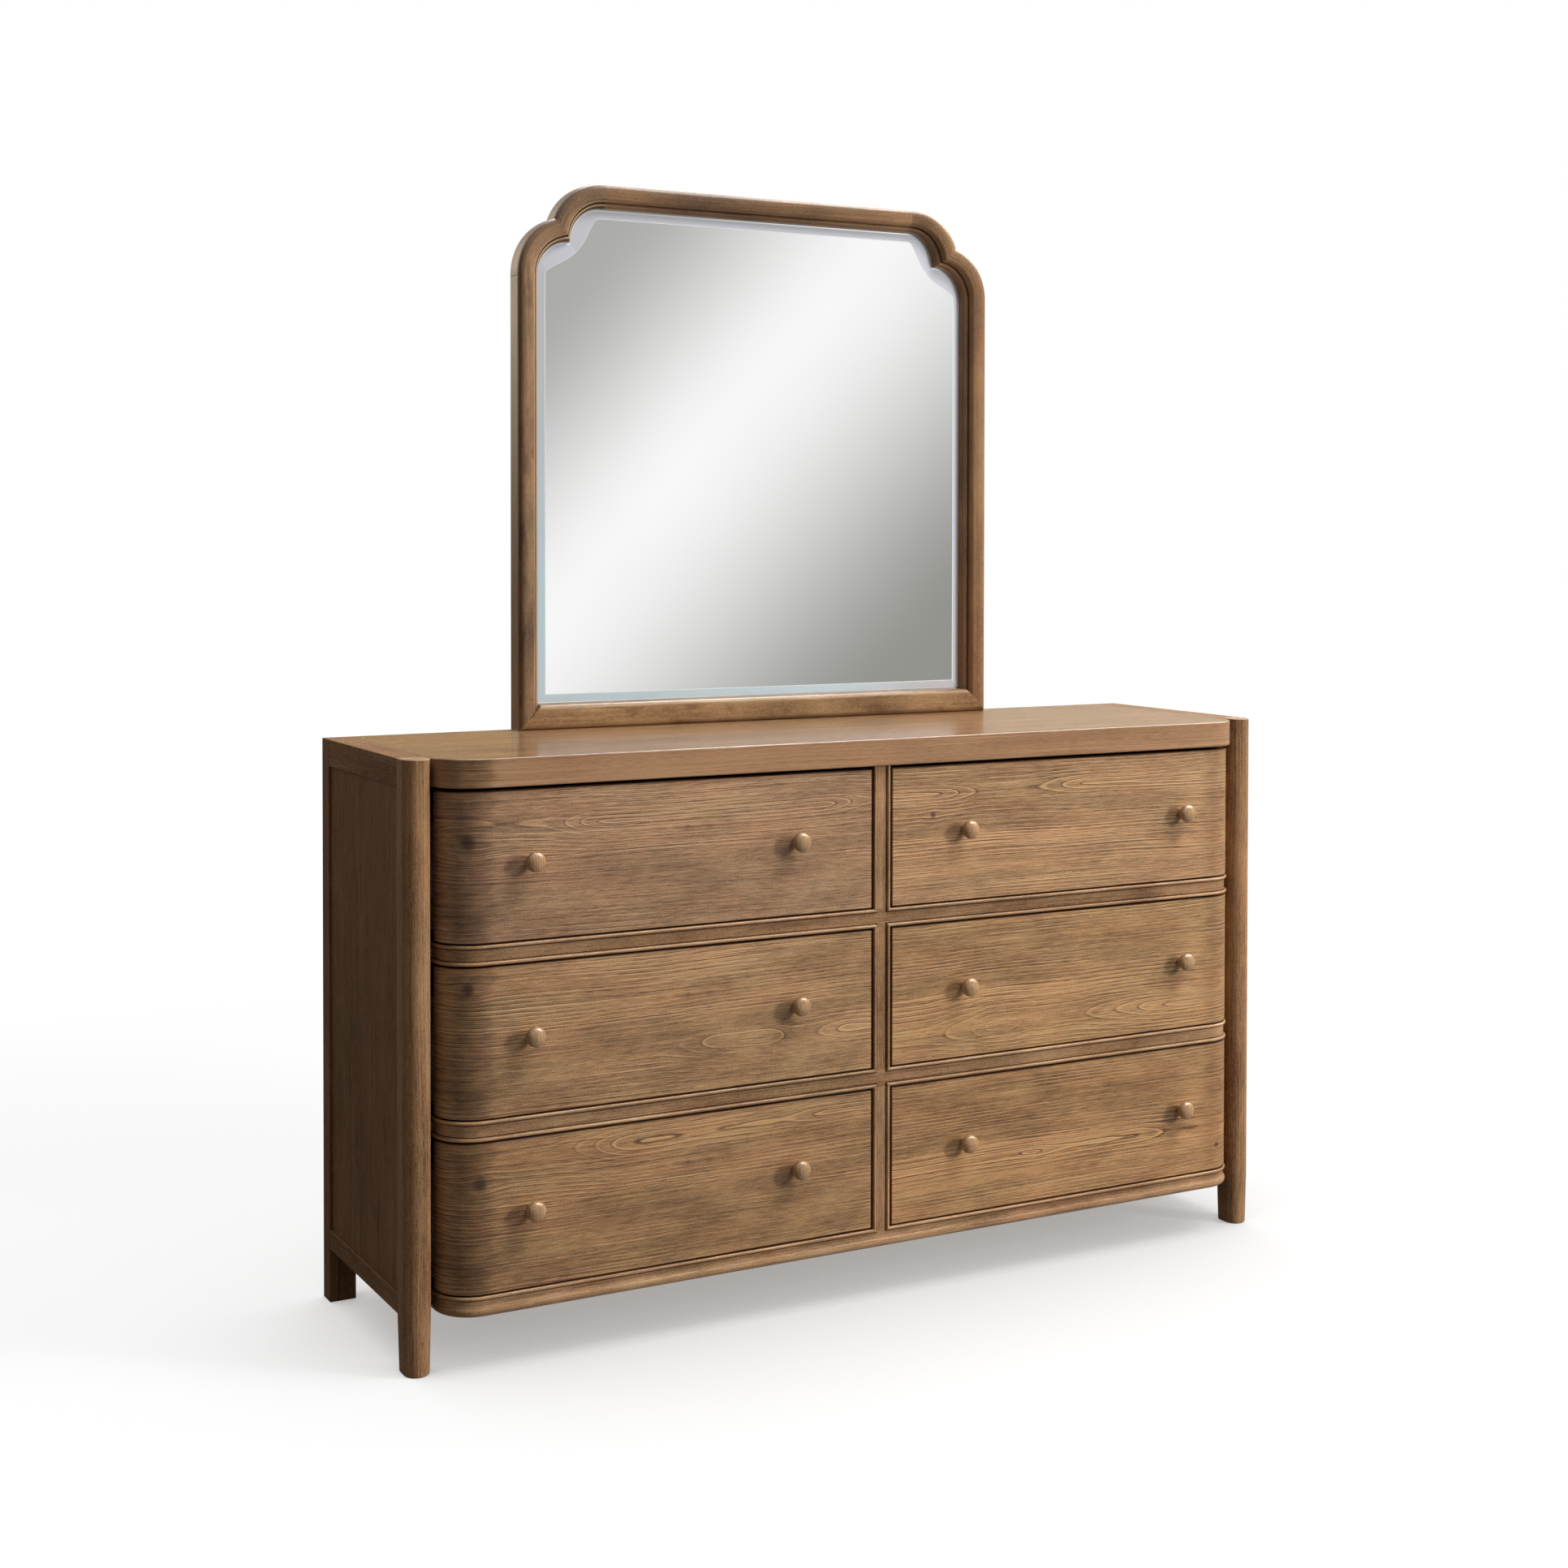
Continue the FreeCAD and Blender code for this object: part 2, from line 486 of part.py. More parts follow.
# ------------------------------------------------------------------ mirror frame
def frame_face(corner, inward):
    """Section of the frame's moulding, from a point on its outer back edge.

    inward is the direction from the outer side of the frame towards the glass.
    """
    up = Y_AXIS * -1

    def at(across, rise):
        return corner + inward * across + up * rise

    outer_r = MIRROR_CREST - MIRROR_FLAT_SIDE
    turn = math.radians(MIRROR_ROLL_END)
    crest_end = MIRROR_ROLL_W - MIRROR_ROLL_R * math.cos(turn)
    roll_root = MIRROR_CREST - MIRROR_ROLL_R
    roll_end_t = roll_root + MIRROR_ROLL_R * math.sin(turn)
    fillet_t = roll_end_t - MIRROR_FILLET_DROP
    rebate = MIRROR_SIGHT - MIRROR_REBATE_W
    cove_w, cove_h = MIRROR_SIGHT - rebate, fillet_t - MIRROR_LIP_T
    eighth = 1 - math.cos(math.radians(45))
    cove_mid = at(rebate + cove_w * eighth, MIRROR_LIP_T + cove_h * eighth)
    middle = (90 + MIRROR_ROLL_END) / 2
    return closed_face([
        line(at(0, 0), at(0, MIRROR_FLAT_SIDE)),
        arc(at(outer_r, MIRROR_FLAT_SIDE), outer_r, 180, 135, 90, inward, up),
        line(at(outer_r, MIRROR_CREST), at(crest_end, MIRROR_CREST)),
        arc(at(crest_end, roll_root), MIRROR_ROLL_R, 90, middle, MIRROR_ROLL_END, inward, up),
        line(at(MIRROR_ROLL_W, roll_end_t), at(MIRROR_ROLL_W, fillet_t)),
        line(at(MIRROR_ROLL_W, fillet_t), at(rebate, fillet_t)),
        Part.Arc(at(rebate, fillet_t), cove_mid, at(MIRROR_SIGHT, MIRROR_LIP_T)).toShape(),
        line(at(MIRROR_SIGHT, MIRROR_LIP_T), at(MIRROR_SIGHT, MIRROR_REBATE_T)),
        line(at(MIRROR_SIGHT, MIRROR_REBATE_T), at(rebate, MIRROR_REBATE_T)),
        line(at(rebate, MIRROR_REBATE_T), at(rebate, 0)),
        line(at(rebate, 0), at(0, 0)),
    ])


def mitre_block(corner_z, degrees, side):
    """A block on one side of the mitre at a left-hand corner: 0 for the rail's, 1 for the stile's."""
    reach = 2 * (LOBE_START + LOBE_R)
    cutter = Part.makeBox(reach, TOTAL_DEPTH, reach, V(-side * reach, -TOTAL_DEPTH / 2, -reach / 2))
    cutter.rotate(ORIGIN, Y_AXIS, degrees)
    cutter.translate(V(-MIRROR_HALF, 0, corner_z))
    return cutter


LOBE_TURN = 120.0            # more than a lobe's angle, before the mitre cuts it
bottom_left = V(-MIRROR_HALF, y_at(DEPTH), CASE_HEIGHT)
mirror_stile = frame_face(bottom_left, X_AXIS).extrude(Z_AXIS * (MIRROR_TOP - JOINT_DROP - CASE_HEIGHT))
mirror_stile = mirror_stile.cut(mitre_block(CASE_HEIGHT, 45, 0))
save("mirror_stile_left", mirror_stile)
save("mirror_stile_right", mirrored(mirror_stile))

mirror_bottom = frame_face(bottom_left, Z_AXIS).extrude(X_AXIS * MIRROR_WIDTH)
bottom_end = mitre_block(CASE_HEIGHT, 45, 1)
save("mirror_bottom_rail", mirror_bottom.cut([bottom_end, mirrored(bottom_end)] + screws))

top_start = V(JOINT_DROP - MIRROR_HALF, y_at(DEPTH), MIRROR_TOP)
mirror_top = frame_face(top_start, Z_AXIS * -1).extrude(X_AXIS * (MIRROR_WIDTH - 2 * JOINT_DROP))
save("mirror_top_rail", mirror_top.cut(screws))

# An upper corner: a short straight end and a lobe, twice, meeting in a notch on the diagonal.
lobe_foot = V(-MIRROR_HALF, y_at(DEPTH), MIRROR_TOP - LOBE_START)
lobe_section = frame_face(lobe_foot, X_AXIS)
lobe = lobe_section.revolve(lobe_foot + X_AXIS * LOBE_R, Y_AXIS, LOBE_TURN)
lobe = lobe.cut(mitre_block(MIRROR_TOP, -45, 0))
lower_half = joined(lobe, lobe_section.extrude(Z_AXIS * -CORNER_JOINT))
upper_half = lower_half.mirror(V(-MIRROR_HALF, 0, MIRROR_TOP), V(1, 0, 1))
mirror_corner = joined(lower_half, upper_half)
save("mirror_corner_left", mirror_corner)
save("mirror_corner_right", mirrored(mirror_corner))


# ------------------------------------------------------------------ mirror glass and backing
def corner_point(inset_x, inset_z, rise):
    """A point measured in from the frame's left side and down from its top."""
    return V(inset_x - MIRROR_HALF, y_at(DEPTH - rise), MIRROR_TOP - inset_z)


def whole_outline(inset, rise, lobe_edges):
    """A closed outline from the edges of one lobe, mirrored at the corner and across."""
    start = corner_point(inset, LOBE_START, rise)
    end = corner_point(LOBE_START, inset, rise)
    foot = V(start.x, start.y, CASE_HEIGHT + inset)
    other = [edge.mirror(V(-MIRROR_HALF, 0, MIRROR_TOP), V(1, 0, 1)) for edge in lobe_edges]
    half = [line(V(0, foot.y, foot.z), foot), line(foot, start)] + lobe_edges + other
    half.append(line(end, V(0, end.y, end.z)))
    return Part.Wire(Part.__sortEdges__(half + [mirrored(edge) for edge in half]))


def lobe_arcs(inset, rise, shares):
    """The arc of one lobe, drawn in by inset, in pieces that end at shares of its angle."""
    radius = LOBE_R - inset
    reach = LOBE_R + LOBE_START
    spread = reach ** 2 - 2 * (LOBE_R ** 2 + LOBE_START ** 2 - radius ** 2)
    notch = (reach - math.sqrt(spread)) / 2
    whole = math.degrees(math.atan2(LOBE_START - notch, LOBE_R - notch))
    centre = corner_point(LOBE_R, LOBE_START, rise)
    ends = [0] + [share * whole for share in shares]
    return [arc(centre, radius, a, (a + b) / 2, b, X_AXIS * -1, Z_AXIS)
            for a, b in zip(ends[:-1], ends[1:])]


def inset_plate(inset, rise, thickness):
    """A plate with the frame's outline drawn in by inset, rise in front of the frame's back."""
    wire = whole_outline(inset, rise, lobe_arcs(inset, rise, [1]))
    return Part.Face(wire).extrude(Y_AXIS * -thickness)


def bevel_lobe(inset, rise):
    """Inner line of the bevel along one lobe: a turn, a straight run and half of the notch."""
    slope = math.radians(BEVEL_LOBE_SLOPE)
    start = corner_point(inset, LOBE_START, rise)
    turn_r = V(BEVEL_LOBE_R, 0, 0)
    middle = (math.pi / 2 - slope) / 2
    turn_mid = start + turn_r - V(math.cos(middle), 0, -math.sin(middle)) * BEVEL_LOBE_R
    run_start = start + turn_r - V(math.sin(slope), 0, -math.cos(slope)) * BEVEL_LOBE_R
    run_end = run_start + V(math.cos(slope), 0, math.sin(slope)) * BEVEL_LOBE_RUN
    # The notch is an arc that leaves the run smoothly and crosses the diagonal squarely.
    across = (MIRROR_TOP - run_end.z - run_end.x - MIRROR_HALF) / math.sqrt(2)
    half_turn = math.pi / 4 - slope
    notch_r = across / math.sin(half_turn)
    centre = run_end + V(-math.sin(slope), 0, math.cos(slope)) * notch_r
    def on_notch(angle):
        return centre + V(math.sin(angle), 0, -math.cos(angle)) * notch_r
    notch = Part.Arc(run_end, on_notch(slope + half_turn / 2), on_notch(math.pi / 4)).toShape()
    return [Part.Arc(start, turn_mid, run_start).toShape(), line(run_start, run_end), notch]


bevel_t = MIRROR_REBATE_T + BEVEL_RISE
lip_inset = MIRROR_SIGHT + BEVEL_GAP
bevel_inset = MIRROR_SIGHT + BEVEL_W
lobe_shares = [BEVEL_TURN_SHARE, BEVEL_RUN_SHARE, 1]
lip_lobe = lobe_arcs(lip_inset, MIRROR_REBATE_T, lobe_shares)
bevel_outer = whole_outline(lip_inset, MIRROR_REBATE_T, lip_lobe)
bevel_inner = whole_outline(bevel_inset, bevel_t, bevel_lobe(bevel_inset, bevel_t))
bevelled = Part.makeLoft([bevel_outer, bevel_inner], True, True)
glass_edge = inset_plate(GLASS_INSET, MIRROR_REBATE_T - GLASS_EDGE_T, GLASS_EDGE_T)
save("mirror_glass", joined(glass_edge, bevelled))
save("mirror_backing", inset_plate(GLASS_INSET, MIRROR_REBATE_T - GLASS_EDGE_T - BACKING_T, BACKING_T))

# ------------------------------------------------------------------ mirror supports
supports = [block(side * SUPPORT_X - SUPPORT_W / 2, side * SUPPORT_X + SUPPORT_W / 2,
                  DEPTH, BACK_FACE, CASE_HEIGHT - SUPPORT_LAP, MIRROR_TOP - SUPPORT_SHORT)
            for side in (-1, 1)]
save("mirror_supports", *[support.cut(screws) for support in supports])


# ------------------------------------------------------------------ drawer slides
def slide_channel(face_x, inward, near, far, half_h, z, depth1):
    """A steel channel on its side: a web and two flanges, open towards or away from the drawer."""
    def strip(a, b, z0, z1):
        x0, x1 = sorted((face_x + inward * a, face_x + inward * b))
        return block(x0, x1, SLIDE_FRONT, depth1, z0, z1)

    web = strip(far, far + SLIDE_STEEL if far > near else far - SLIDE_STEEL, z - half_h, z + half_h)
    low = strip(near, far, z - half_h, z - half_h + SLIDE_STEEL)
    high = strip(near, far, z + half_h - SLIDE_STEEL, z + half_h)
    return joined(web, low, high)


def slide_heights():
    """The height of the slides of each row of drawers."""
    return [z + DRAWER_BOX_RISE + SLIDE_RISE for z in DRAWER_Z]


def case_member(face_x, inward, z):
    """The channel fixed to the case, open towards the drawer."""
    return slide_channel(face_x, inward, SLIDE_FLANGE, SLIDE_STEEL, SLIDE_H / 2, z,
                         SLIDE_FRONT + SLIDE_LENGTH)


def drawer_member(face_x, inward, z):
    """The channel fixed to the drawer, running inside the other with a small gap."""
    half_h = SLIDE_H / 2 - SLIDE_STEEL - SLIDE_GAP
    return slide_channel(face_x, inward, SLIDE_STEEL + SLIDE_TIP_GAP, SLIDE_SPACE - SLIDE_STEEL, half_h, z, BOX_BACK)


case_members = [case_member(face_x, inward, z) for z in slide_heights()
                for face_x, inward in ((INNER_X, -1), (PARTITION_T / 2, 1),
                                       (-PARTITION_T / 2, -1), (-INNER_X, 1))]
save("slide_case_members", *case_members)
cleats = [block(INNER_X, PANEL_INNER_X, POST_BACK, REAR_POST_FRONT, z - CLEAT_H / 2, z + CLEAT_H / 2)
          for z in slide_heights()]
save("slide_cleats", *[copy for cleat in cleats for copy in (cleat, mirrored(cleat))])


# ------------------------------------------------------------------ drawers
def drawer_plan(front, inner_x, outer_x, z0, z1, back):
    """A right-hand board with a rounded outer corner, from a depth in front to one behind.

    Past the rounded corner it reaches out to outer_x, where that is further than the corner.
    """
    radius = CORNER_R - front
    centre = V(CORNER_X, y_at(CORNER_R), z0)
    end = centre + X_AXIS * radius
    run = [V(inner_x, y_at(back), z0), V(inner_x, y_at(front), z0), centre - Y_AXIS * radius]
    rest = [end]
    if outer_x > end.x:
        rest.append(V(outer_x, end.y, z0))
    if back > CORNER_R:
        rest.append(V(rest[-1].x, y_at(back), z0))
        rest.append(run[0])
    else:
        rest.append(V(inner_x, y_at(CORNER_R), z0))
        run[0] = rest[-1]
    edges = [line(a, b) for a, b in zip(run[:-1], run[1:])]
    edges.append(arc(centre, radius, 270, 315, 360, X_AXIS, Y_AXIS))
    edges += [line(a, b) for a, b in zip(rest[:-1], rest[1:])]
    return closed_face(edges).extrude(Z_AXIS * (z1 - z0))


def make_knob(x, z):
    """A turned knob: a spigot in the drawer's front, a stem and a flattened round head."""
    foot = V(x, y_at(DRAWER_SETBACK), z)
    out = Y_AXIS * -1
    spigot_r, stem_r = KNOB_SPIGOT_D / 2, KNOB_STEM_D / 2
    rim_r = KNOB_D / 2 - stem_r
    rim_reach = KNOB_REACH - KNOB_DOME_H

    def at(radius, reach):
        return foot + X_AXIS * radius + out * reach

    # The dome is tangent to the round of the rim and square to the knob's axis at its tip.
    dome_r = (stem_r ** 2 + KNOB_DOME_H ** 2 - rim_r ** 2) / (2 * (KNOB_DOME_H - rim_r))
    rim_end = math.degrees(math.atan2(rim_reach - KNOB_REACH + dome_r, stem_r))
    middle = (rim_end - 90) / 2
    run = [
        line(at(0, -KNOB_SPIGOT_L), at(spigot_r, -KNOB_SPIGOT_L)),
        line(at(spigot_r, -KNOB_SPIGOT_L), at(spigot_r, 0)),
        line(at(spigot_r, 0), at(stem_r, 0)),
        line(at(stem_r, 0), at(stem_r, rim_reach - rim_r)),
        arc(at(stem_r, rim_reach), rim_r, -90, middle, rim_end, X_AXIS, out),
        arc(at(0, KNOB_REACH - dome_r), dome_r, rim_end, (rim_end + 90) / 2, 90, X_AXIS, out),
        line(at(0, KNOB_REACH), at(0, -KNOB_SPIGOT_L)),
    ]
    return closed_face(run).revolve(foot, Y_AXIS, 360)


def make_drawer(z0):
    """Pieces of a right-hand drawer whose front starts at height z0."""
    box_z = z0 + DRAWER_BOX_RISE
    box_top = box_z + DRAWER_BOX_H
    floor_z = box_z + DRAWER_BOTTOM_RISE
    slide_z = box_z + SLIDE_RISE
    outer_x = BOX_OUT_X - DRAWER_SIDE_T
    inner_x = BOX_IN_X + DRAWER_SIDE_T
    bottom = drawer_plan(DRAWER_BACK - DRAWER_GROOVE, inner_x - DRAWER_GROOVE, outer_x + DRAWER_GROOVE,
                         floor_z, floor_z + DRAWER_BOTTOM_T, BOX_BACK - DRAWER_BACK_T + DRAWER_GROOVE)
    knob_z = z0 + DRAWER_H / 2 + KNOB_RISE
    knobs = [make_knob(KNOB_PAIR_X + shift * KNOB_FROM_MIDDLE, knob_z) for shift in (-1, 1)]
    front = drawer_plan(DRAWER_SETBACK, DRAWER_INNER_X, 0, z0, z0 + DRAWER_H, CORNER_R)
    hollow = drawer_plan(DRAWER_BACK, 0, 0, z0, z0 + DRAWER_H, CORNER_R)
    front = front.cut(hollow).cut([bottom] + knobs)
    sides_and_back = [
        block(outer_x, BOX_OUT_X, CORNER_R, BOX_BACK, box_z, box_top).cut(bottom),
        block(BOX_IN_X, inner_x, DRAWER_BACK, BOX_BACK, box_z, box_top).cut(bottom),
        block(inner_x, outer_x, BOX_BACK - DRAWER_BACK_T, BOX_BACK, box_z, box_top).cut(bottom),
    ]
    runners = [drawer_member(INNER_X, -1, slide_z), drawer_member(PARTITION_T / 2, 1, slide_z)]
    return {"front": [front], "box": sides_and_back, "bottom": [bottom], "knobs": knobs,
            "runners": runners}


ROW_NAMES = ("lower", "middle", "upper")
for row, row_name in enumerate(ROW_NAMES):
    for piece_name, solids in make_drawer(DRAWER_Z[row]).items():
        save(row_name + "_right_drawer_" + piece_name, *solids)
        save(row_name + "_left_drawer_" + piece_name, *[mirrored(solid) for solid in solids])
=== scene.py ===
"""A six-drawer pine dresser with rounded front corners and a bevelled mirror on its top.

Millimetres in the shapes, metres in the meshes, +Z up.  The front faces -Y.  "Depth" counts
backwards from the front edge of the top.  Grain is written on every piece as the place of each
point in its own board: along the fibres, across the face and into the wood.
"""

import math

import bmesh
import bpy
import numpy as np
from mathutils import Matrix, Vector


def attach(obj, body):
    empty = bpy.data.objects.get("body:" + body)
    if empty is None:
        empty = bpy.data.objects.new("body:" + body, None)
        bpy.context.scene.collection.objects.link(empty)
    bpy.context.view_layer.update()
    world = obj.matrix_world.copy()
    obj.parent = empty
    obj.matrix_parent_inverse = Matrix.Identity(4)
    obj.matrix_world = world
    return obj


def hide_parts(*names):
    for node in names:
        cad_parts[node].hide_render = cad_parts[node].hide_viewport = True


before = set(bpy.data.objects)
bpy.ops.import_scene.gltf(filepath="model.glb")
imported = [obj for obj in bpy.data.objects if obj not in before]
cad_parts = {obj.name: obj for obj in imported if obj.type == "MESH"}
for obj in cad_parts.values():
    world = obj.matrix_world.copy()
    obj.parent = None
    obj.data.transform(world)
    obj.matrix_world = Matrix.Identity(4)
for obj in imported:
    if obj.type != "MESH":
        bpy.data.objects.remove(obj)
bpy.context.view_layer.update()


# -------------------------------- side frames
# Two square-edged frames close the ends: a half-round front post, a flat rear post, an upper and
# a lower rail between them and a thin panel in grooves.  Pine, stained brown, glued at the rails.
WIDTH, DEPTH, CASE_H = 1651.0, 457.0, 944.0
FRONT_Y = -226.0  # of the top's front edge
HALF_W = WIDTH / 2
FRAME_T = 45.0
INNER_X = HALF_W - FRAME_T
POST_FRONT, POST_BACK = 33.0, 78.0  # depths of the front posts
REAR_FRONT = 421.0
TOP_UNDER = 899.0
SIDE_UNDER, SIDE_RAIL_H = 90.0, 32.0
PANEL_T, PANEL_RECESS, TONGUE = 12.0, 4.0, 8.0


def grid(*parts):
    """Vectors over one grid, from their three parts."""
    return np.stack(np.broadcast_arrays(*parts), axis=-1)


def put(name, data):
    """A new object in the scene."""
    thing = bpy.data.objects.new(name, data)
    bpy.context.scene.collection.objects.link(thing)
    return thing


class Shell:
    """Grid patches and flat ends that are sewn into one closed mesh."""

    def __init__(self):
        self.points, self.grain, self.faces, self.count = [], [], [], 0

    def patch(self, points, grain, closed=False):
        """Adds the quads of a (rows, columns, 3) grid; closed joins the last row to the first."""
        rows, columns = points.shape[:2]
        first = np.arange(rows if closed else rows - 1)[:, None] * columns + np.arange(columns - 1)
        after = (first + columns) % (rows * columns)
        quads = np.stack([first, after, after + 1, first + 1], axis=-1).reshape(-1, 4) + self.count
        self._keep(points, grain, quads.tolist())

    def cap(self, ring, grain):
        """Adds one flat face inside a ring of points."""
        self._keep(ring, grain, [list(range(self.count, self.count + len(ring)))])

    def tube(self, points, grain, end_grain=None):
        """Adds a (round, along) grid closed into a tube, and a flat face at each end."""
        self.patch(points, grain, closed=True)
        end_grain = grain if end_grain is None else end_grain
        for column in (0, -1):
            self.cap(points[:, column], end_grain[:, column])

    def _keep(self, points, grain, faces):
        flat = points.reshape(-1, 3)
        self.points.append(flat)
        self.grain.append(np.broadcast_to(grain, points.shape).reshape(-1, 3))
        self.faces += faces
        self.count += len(flat)

    def piece(self, name, finish, slot, *nodes, body="case", crease=32.0):
        """Sews the patches, turns the faces outwards and puts the piece in place of its CAD nodes."""
        mesh = bpy.data.meshes.new(name)
        mesh.from_pydata(np.concatenate(self.points) / 1000, [], self.faces)
        corners = np.array([corner for face in self.faces for corner in face])
        grain = mesh.attributes.new("grain", "FLOAT_VECTOR", "CORNER")
        grain.data.foreach_set("vector", (np.concatenate(self.grain)[corners] / 1000).ravel())
        sewn = bmesh.new()
        sewn.from_mesh(mesh)
        bmesh.ops.remove_doubles(sewn, verts=sewn.verts, dist=2e-5)
        bmesh.ops.recalc_face_normals(sewn, faces=sewn.faces)
        sewn.to_mesh(mesh)
        sewn.free()
        mesh.shade_smooth()
        mesh.set_sharp_from_angle(angle=math.radians(crease))
        mesh.materials.append(finish)
        piece = put(name, mesh)
        piece.modifiers.new("even", "WEIGHTED_NORMAL").keep_sharp = True
        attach(piece, body)
        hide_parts(*nodes)


def board_grain(points, along, offset):
    """Place of points in a board whose fibres run along one axis: that axis, then the other two."""
    order = {"x": [0, 2, 1], "y": [1, 2, 0], "z": [2, 0, 1]}[along]
    return points[..., order] + offset


def add_board(shell, low, high, along, offset, radius=1.2, lines=(), bend=None):
    """A board with rounded edges: points of a box's faces are drawn in to the box shrunk by the
    radius, then pushed out by the radius along what is left.  bend carries them elsewhere."""
    low, high = np.array(low, float), np.array(high, float)
    turn = radius * np.tan(np.radians([45.0, 24.0]))
    cuts = []
    for axis in range(3):
        near, far = low[axis] + radius, high[axis] - radius
        inner = [v for v in (lines if axis == 0 else ()) if near < v < far]
        cuts.append(np.array([*(near - turn), near, *inner, far, *(far + turn[::-1])]))
    for axis in range(3):
        b, c = (axis + 1) % 3, (axis + 2) % 3
        grid = np.zeros((len(cuts[b]), len(cuts[c]), 3))
        grid[..., b], grid[..., c] = cuts[b][:, None], cuts[c][None, :]
        for side in (low[axis], high[axis]):
            grid[..., axis] = side
            core = np.clip(grid, low + radius, high - radius)
            out = grid - core
            rounded = core + radius * out / np.linalg.norm(out, axis=-1, keepdims=True)
            shell.patch(bend(rounded) if bend else rounded, board_grain(rounded, along, offset))


def add_pair(shell, inner, outer, low, high, along, offset, apart=0.0, radius=1.2):
    """Two boards, one at each side, between two distances from the middle."""
    for sign in (-1, 1):
        x0, x1 = sorted((sign * inner, sign * outer))
        add_board(shell, (x0, *low), (x1, *high), along, offset + apart * sign, radius)


def y_of(depth):
    """Y coordinate of a depth behind the front edge of the top."""
    return FRONT_Y + depth


class Socket:
    """An output of a shader node; arithmetic on it adds Math nodes."""

    def __init__(self, finish, output):
        self.finish, self.output = finish, output

    def maths(self, operation, *values):
        return self.finish.node("ShaderNodeMath", {"operation": operation}, dict(enumerate(values)))

    def __add__(self, other):
        return self.maths("ADD", self, other)

    def __sub__(self, other):
        return self.maths("SUBTRACT", self, other)

    def __rsub__(self, other):
        return self.maths("SUBTRACT", other, self)

    def __mul__(self, other):
        return self.maths("MULTIPLY", self, other)

    def root(self):
        return self.maths("SQRT", self)

    def size(self):
        return self.maths("ABSOLUTE", self)

    __radd__, __rmul__ = __add__, __mul__


class Finish:
    """A material, or the world, put together node by node."""

    def __init__(self, name, owner=None):
        self.material = owner or bpy.data.materials.new(name)
        self.material.use_nodes = True
        self.tree = self.material.node_tree
        self.tree.nodes.clear()

    def node(self, kind, settings=None, inputs=None, output=0):
        """Adds a node: its settings first, then the values or links of its sockets."""
        node = self.tree.nodes.new(kind)
        for key, value in (settings or {}).items():
            setattr(node, key, value)
        for key, value in (inputs or {}).items():
            if isinstance(value, Socket):
                self.tree.links.new(value.output, node.inputs[key])
            else:
                node.inputs[key].default_value = value
        return Socket(self, node.outputs[output]) if node.outputs else None

    def noise(self, place, scale, detail=2.0, roughness=0.5):
        """Soft noise around one half, stretched by a scale per axis in features per metre."""
        stretched = self.node("ShaderNodeVectorMath", {"operation": "MULTIPLY"}, {0: place, 1: scale})
        return self.node("ShaderNodeTexNoise", None,
                         {"Vector": stretched, "Scale": 1.0, "Detail": detail, "Roughness": roughness})

    def step(self, value, start, end):
        """0 before start, 1 after end and a smooth ramp between them."""
        return self.node("ShaderNodeMapRange", {"interpolation_type": "SMOOTHSTEP"},
                         {"Value": value, "From Min": start, "From Max": end})

    def ramp(self, value, start, end):
        """0 before start, 1 after end and an even rise between them."""
        return self.node("ShaderNodeMapRange", None, {"Value": value, "From Min": start, "From Max": end})

    def mix(self, share, first, second, blend="MIX"):
        """Two colours mixed by a share from 0 to 1."""
        return self.node("ShaderNodeMix", {"data_type": "RGBA", "blend_type": blend},
                         {0: share, 6: first, 7: second}, output=2)

    def times(self, colour, factors):
        """A colour multiplied by a red, a green and a blue factor."""
        return self.mix(1.0, colour, (*factors, 1), "MULTIPLY")

    def object_place(self):
        """The place of the point itself, in metres."""
        return self.node("ShaderNodeTexCoord", output="Object")

    def axes(self, place):
        """The three parts of a vector."""
        node = self.node("ShaderNodeSeparateXYZ", None, {0: place}).output.node
        return [Socket(self, output) for output in node.outputs]

    def vector(self, *parts):
        """A vector of three values."""
        return self.node("ShaderNodeCombineXYZ", None, dict(enumerate(parts)))

    def surface(self, colour, roughness, normal=None, **fixed):
        """Ends the material in one Principled shader."""
        inputs = {"Base Color": colour, "Roughness": roughness}
        inputs.update({key.replace("_", " "): value for key, value in fixed.items()})
        if normal:
            inputs["Normal"] = normal
        shader = self.node("ShaderNodeBsdfPrincipled", None, inputs)
        self.node("ShaderNodeOutputMaterial", None, {"Surface": shader})
        return self.material

    def bump(self, height, distance):
        """Relief of a height from 0 to 1 over a distance in metres."""
        return self.node("ShaderNodeBump", None, {"Strength": 1.0, "Distance": distance, "Height": height})


def stain(code):
    """A colour written as six hexadecimal digits, made linear."""
    parts = np.array([int(code[i:i + 2], 16) for i in (0, 2, 4)]) / 255
    linear = np.where(parts <= 0.04045, parts / 12.92, ((parts + 0.055) / 1.055) ** 2.4)
    return (*linear.tolist(), 1.0)


GLAZE_AND_SHADE = (0.42, 0.36, 0.32)  # what one coat of glaze, and of painted shade, lets through
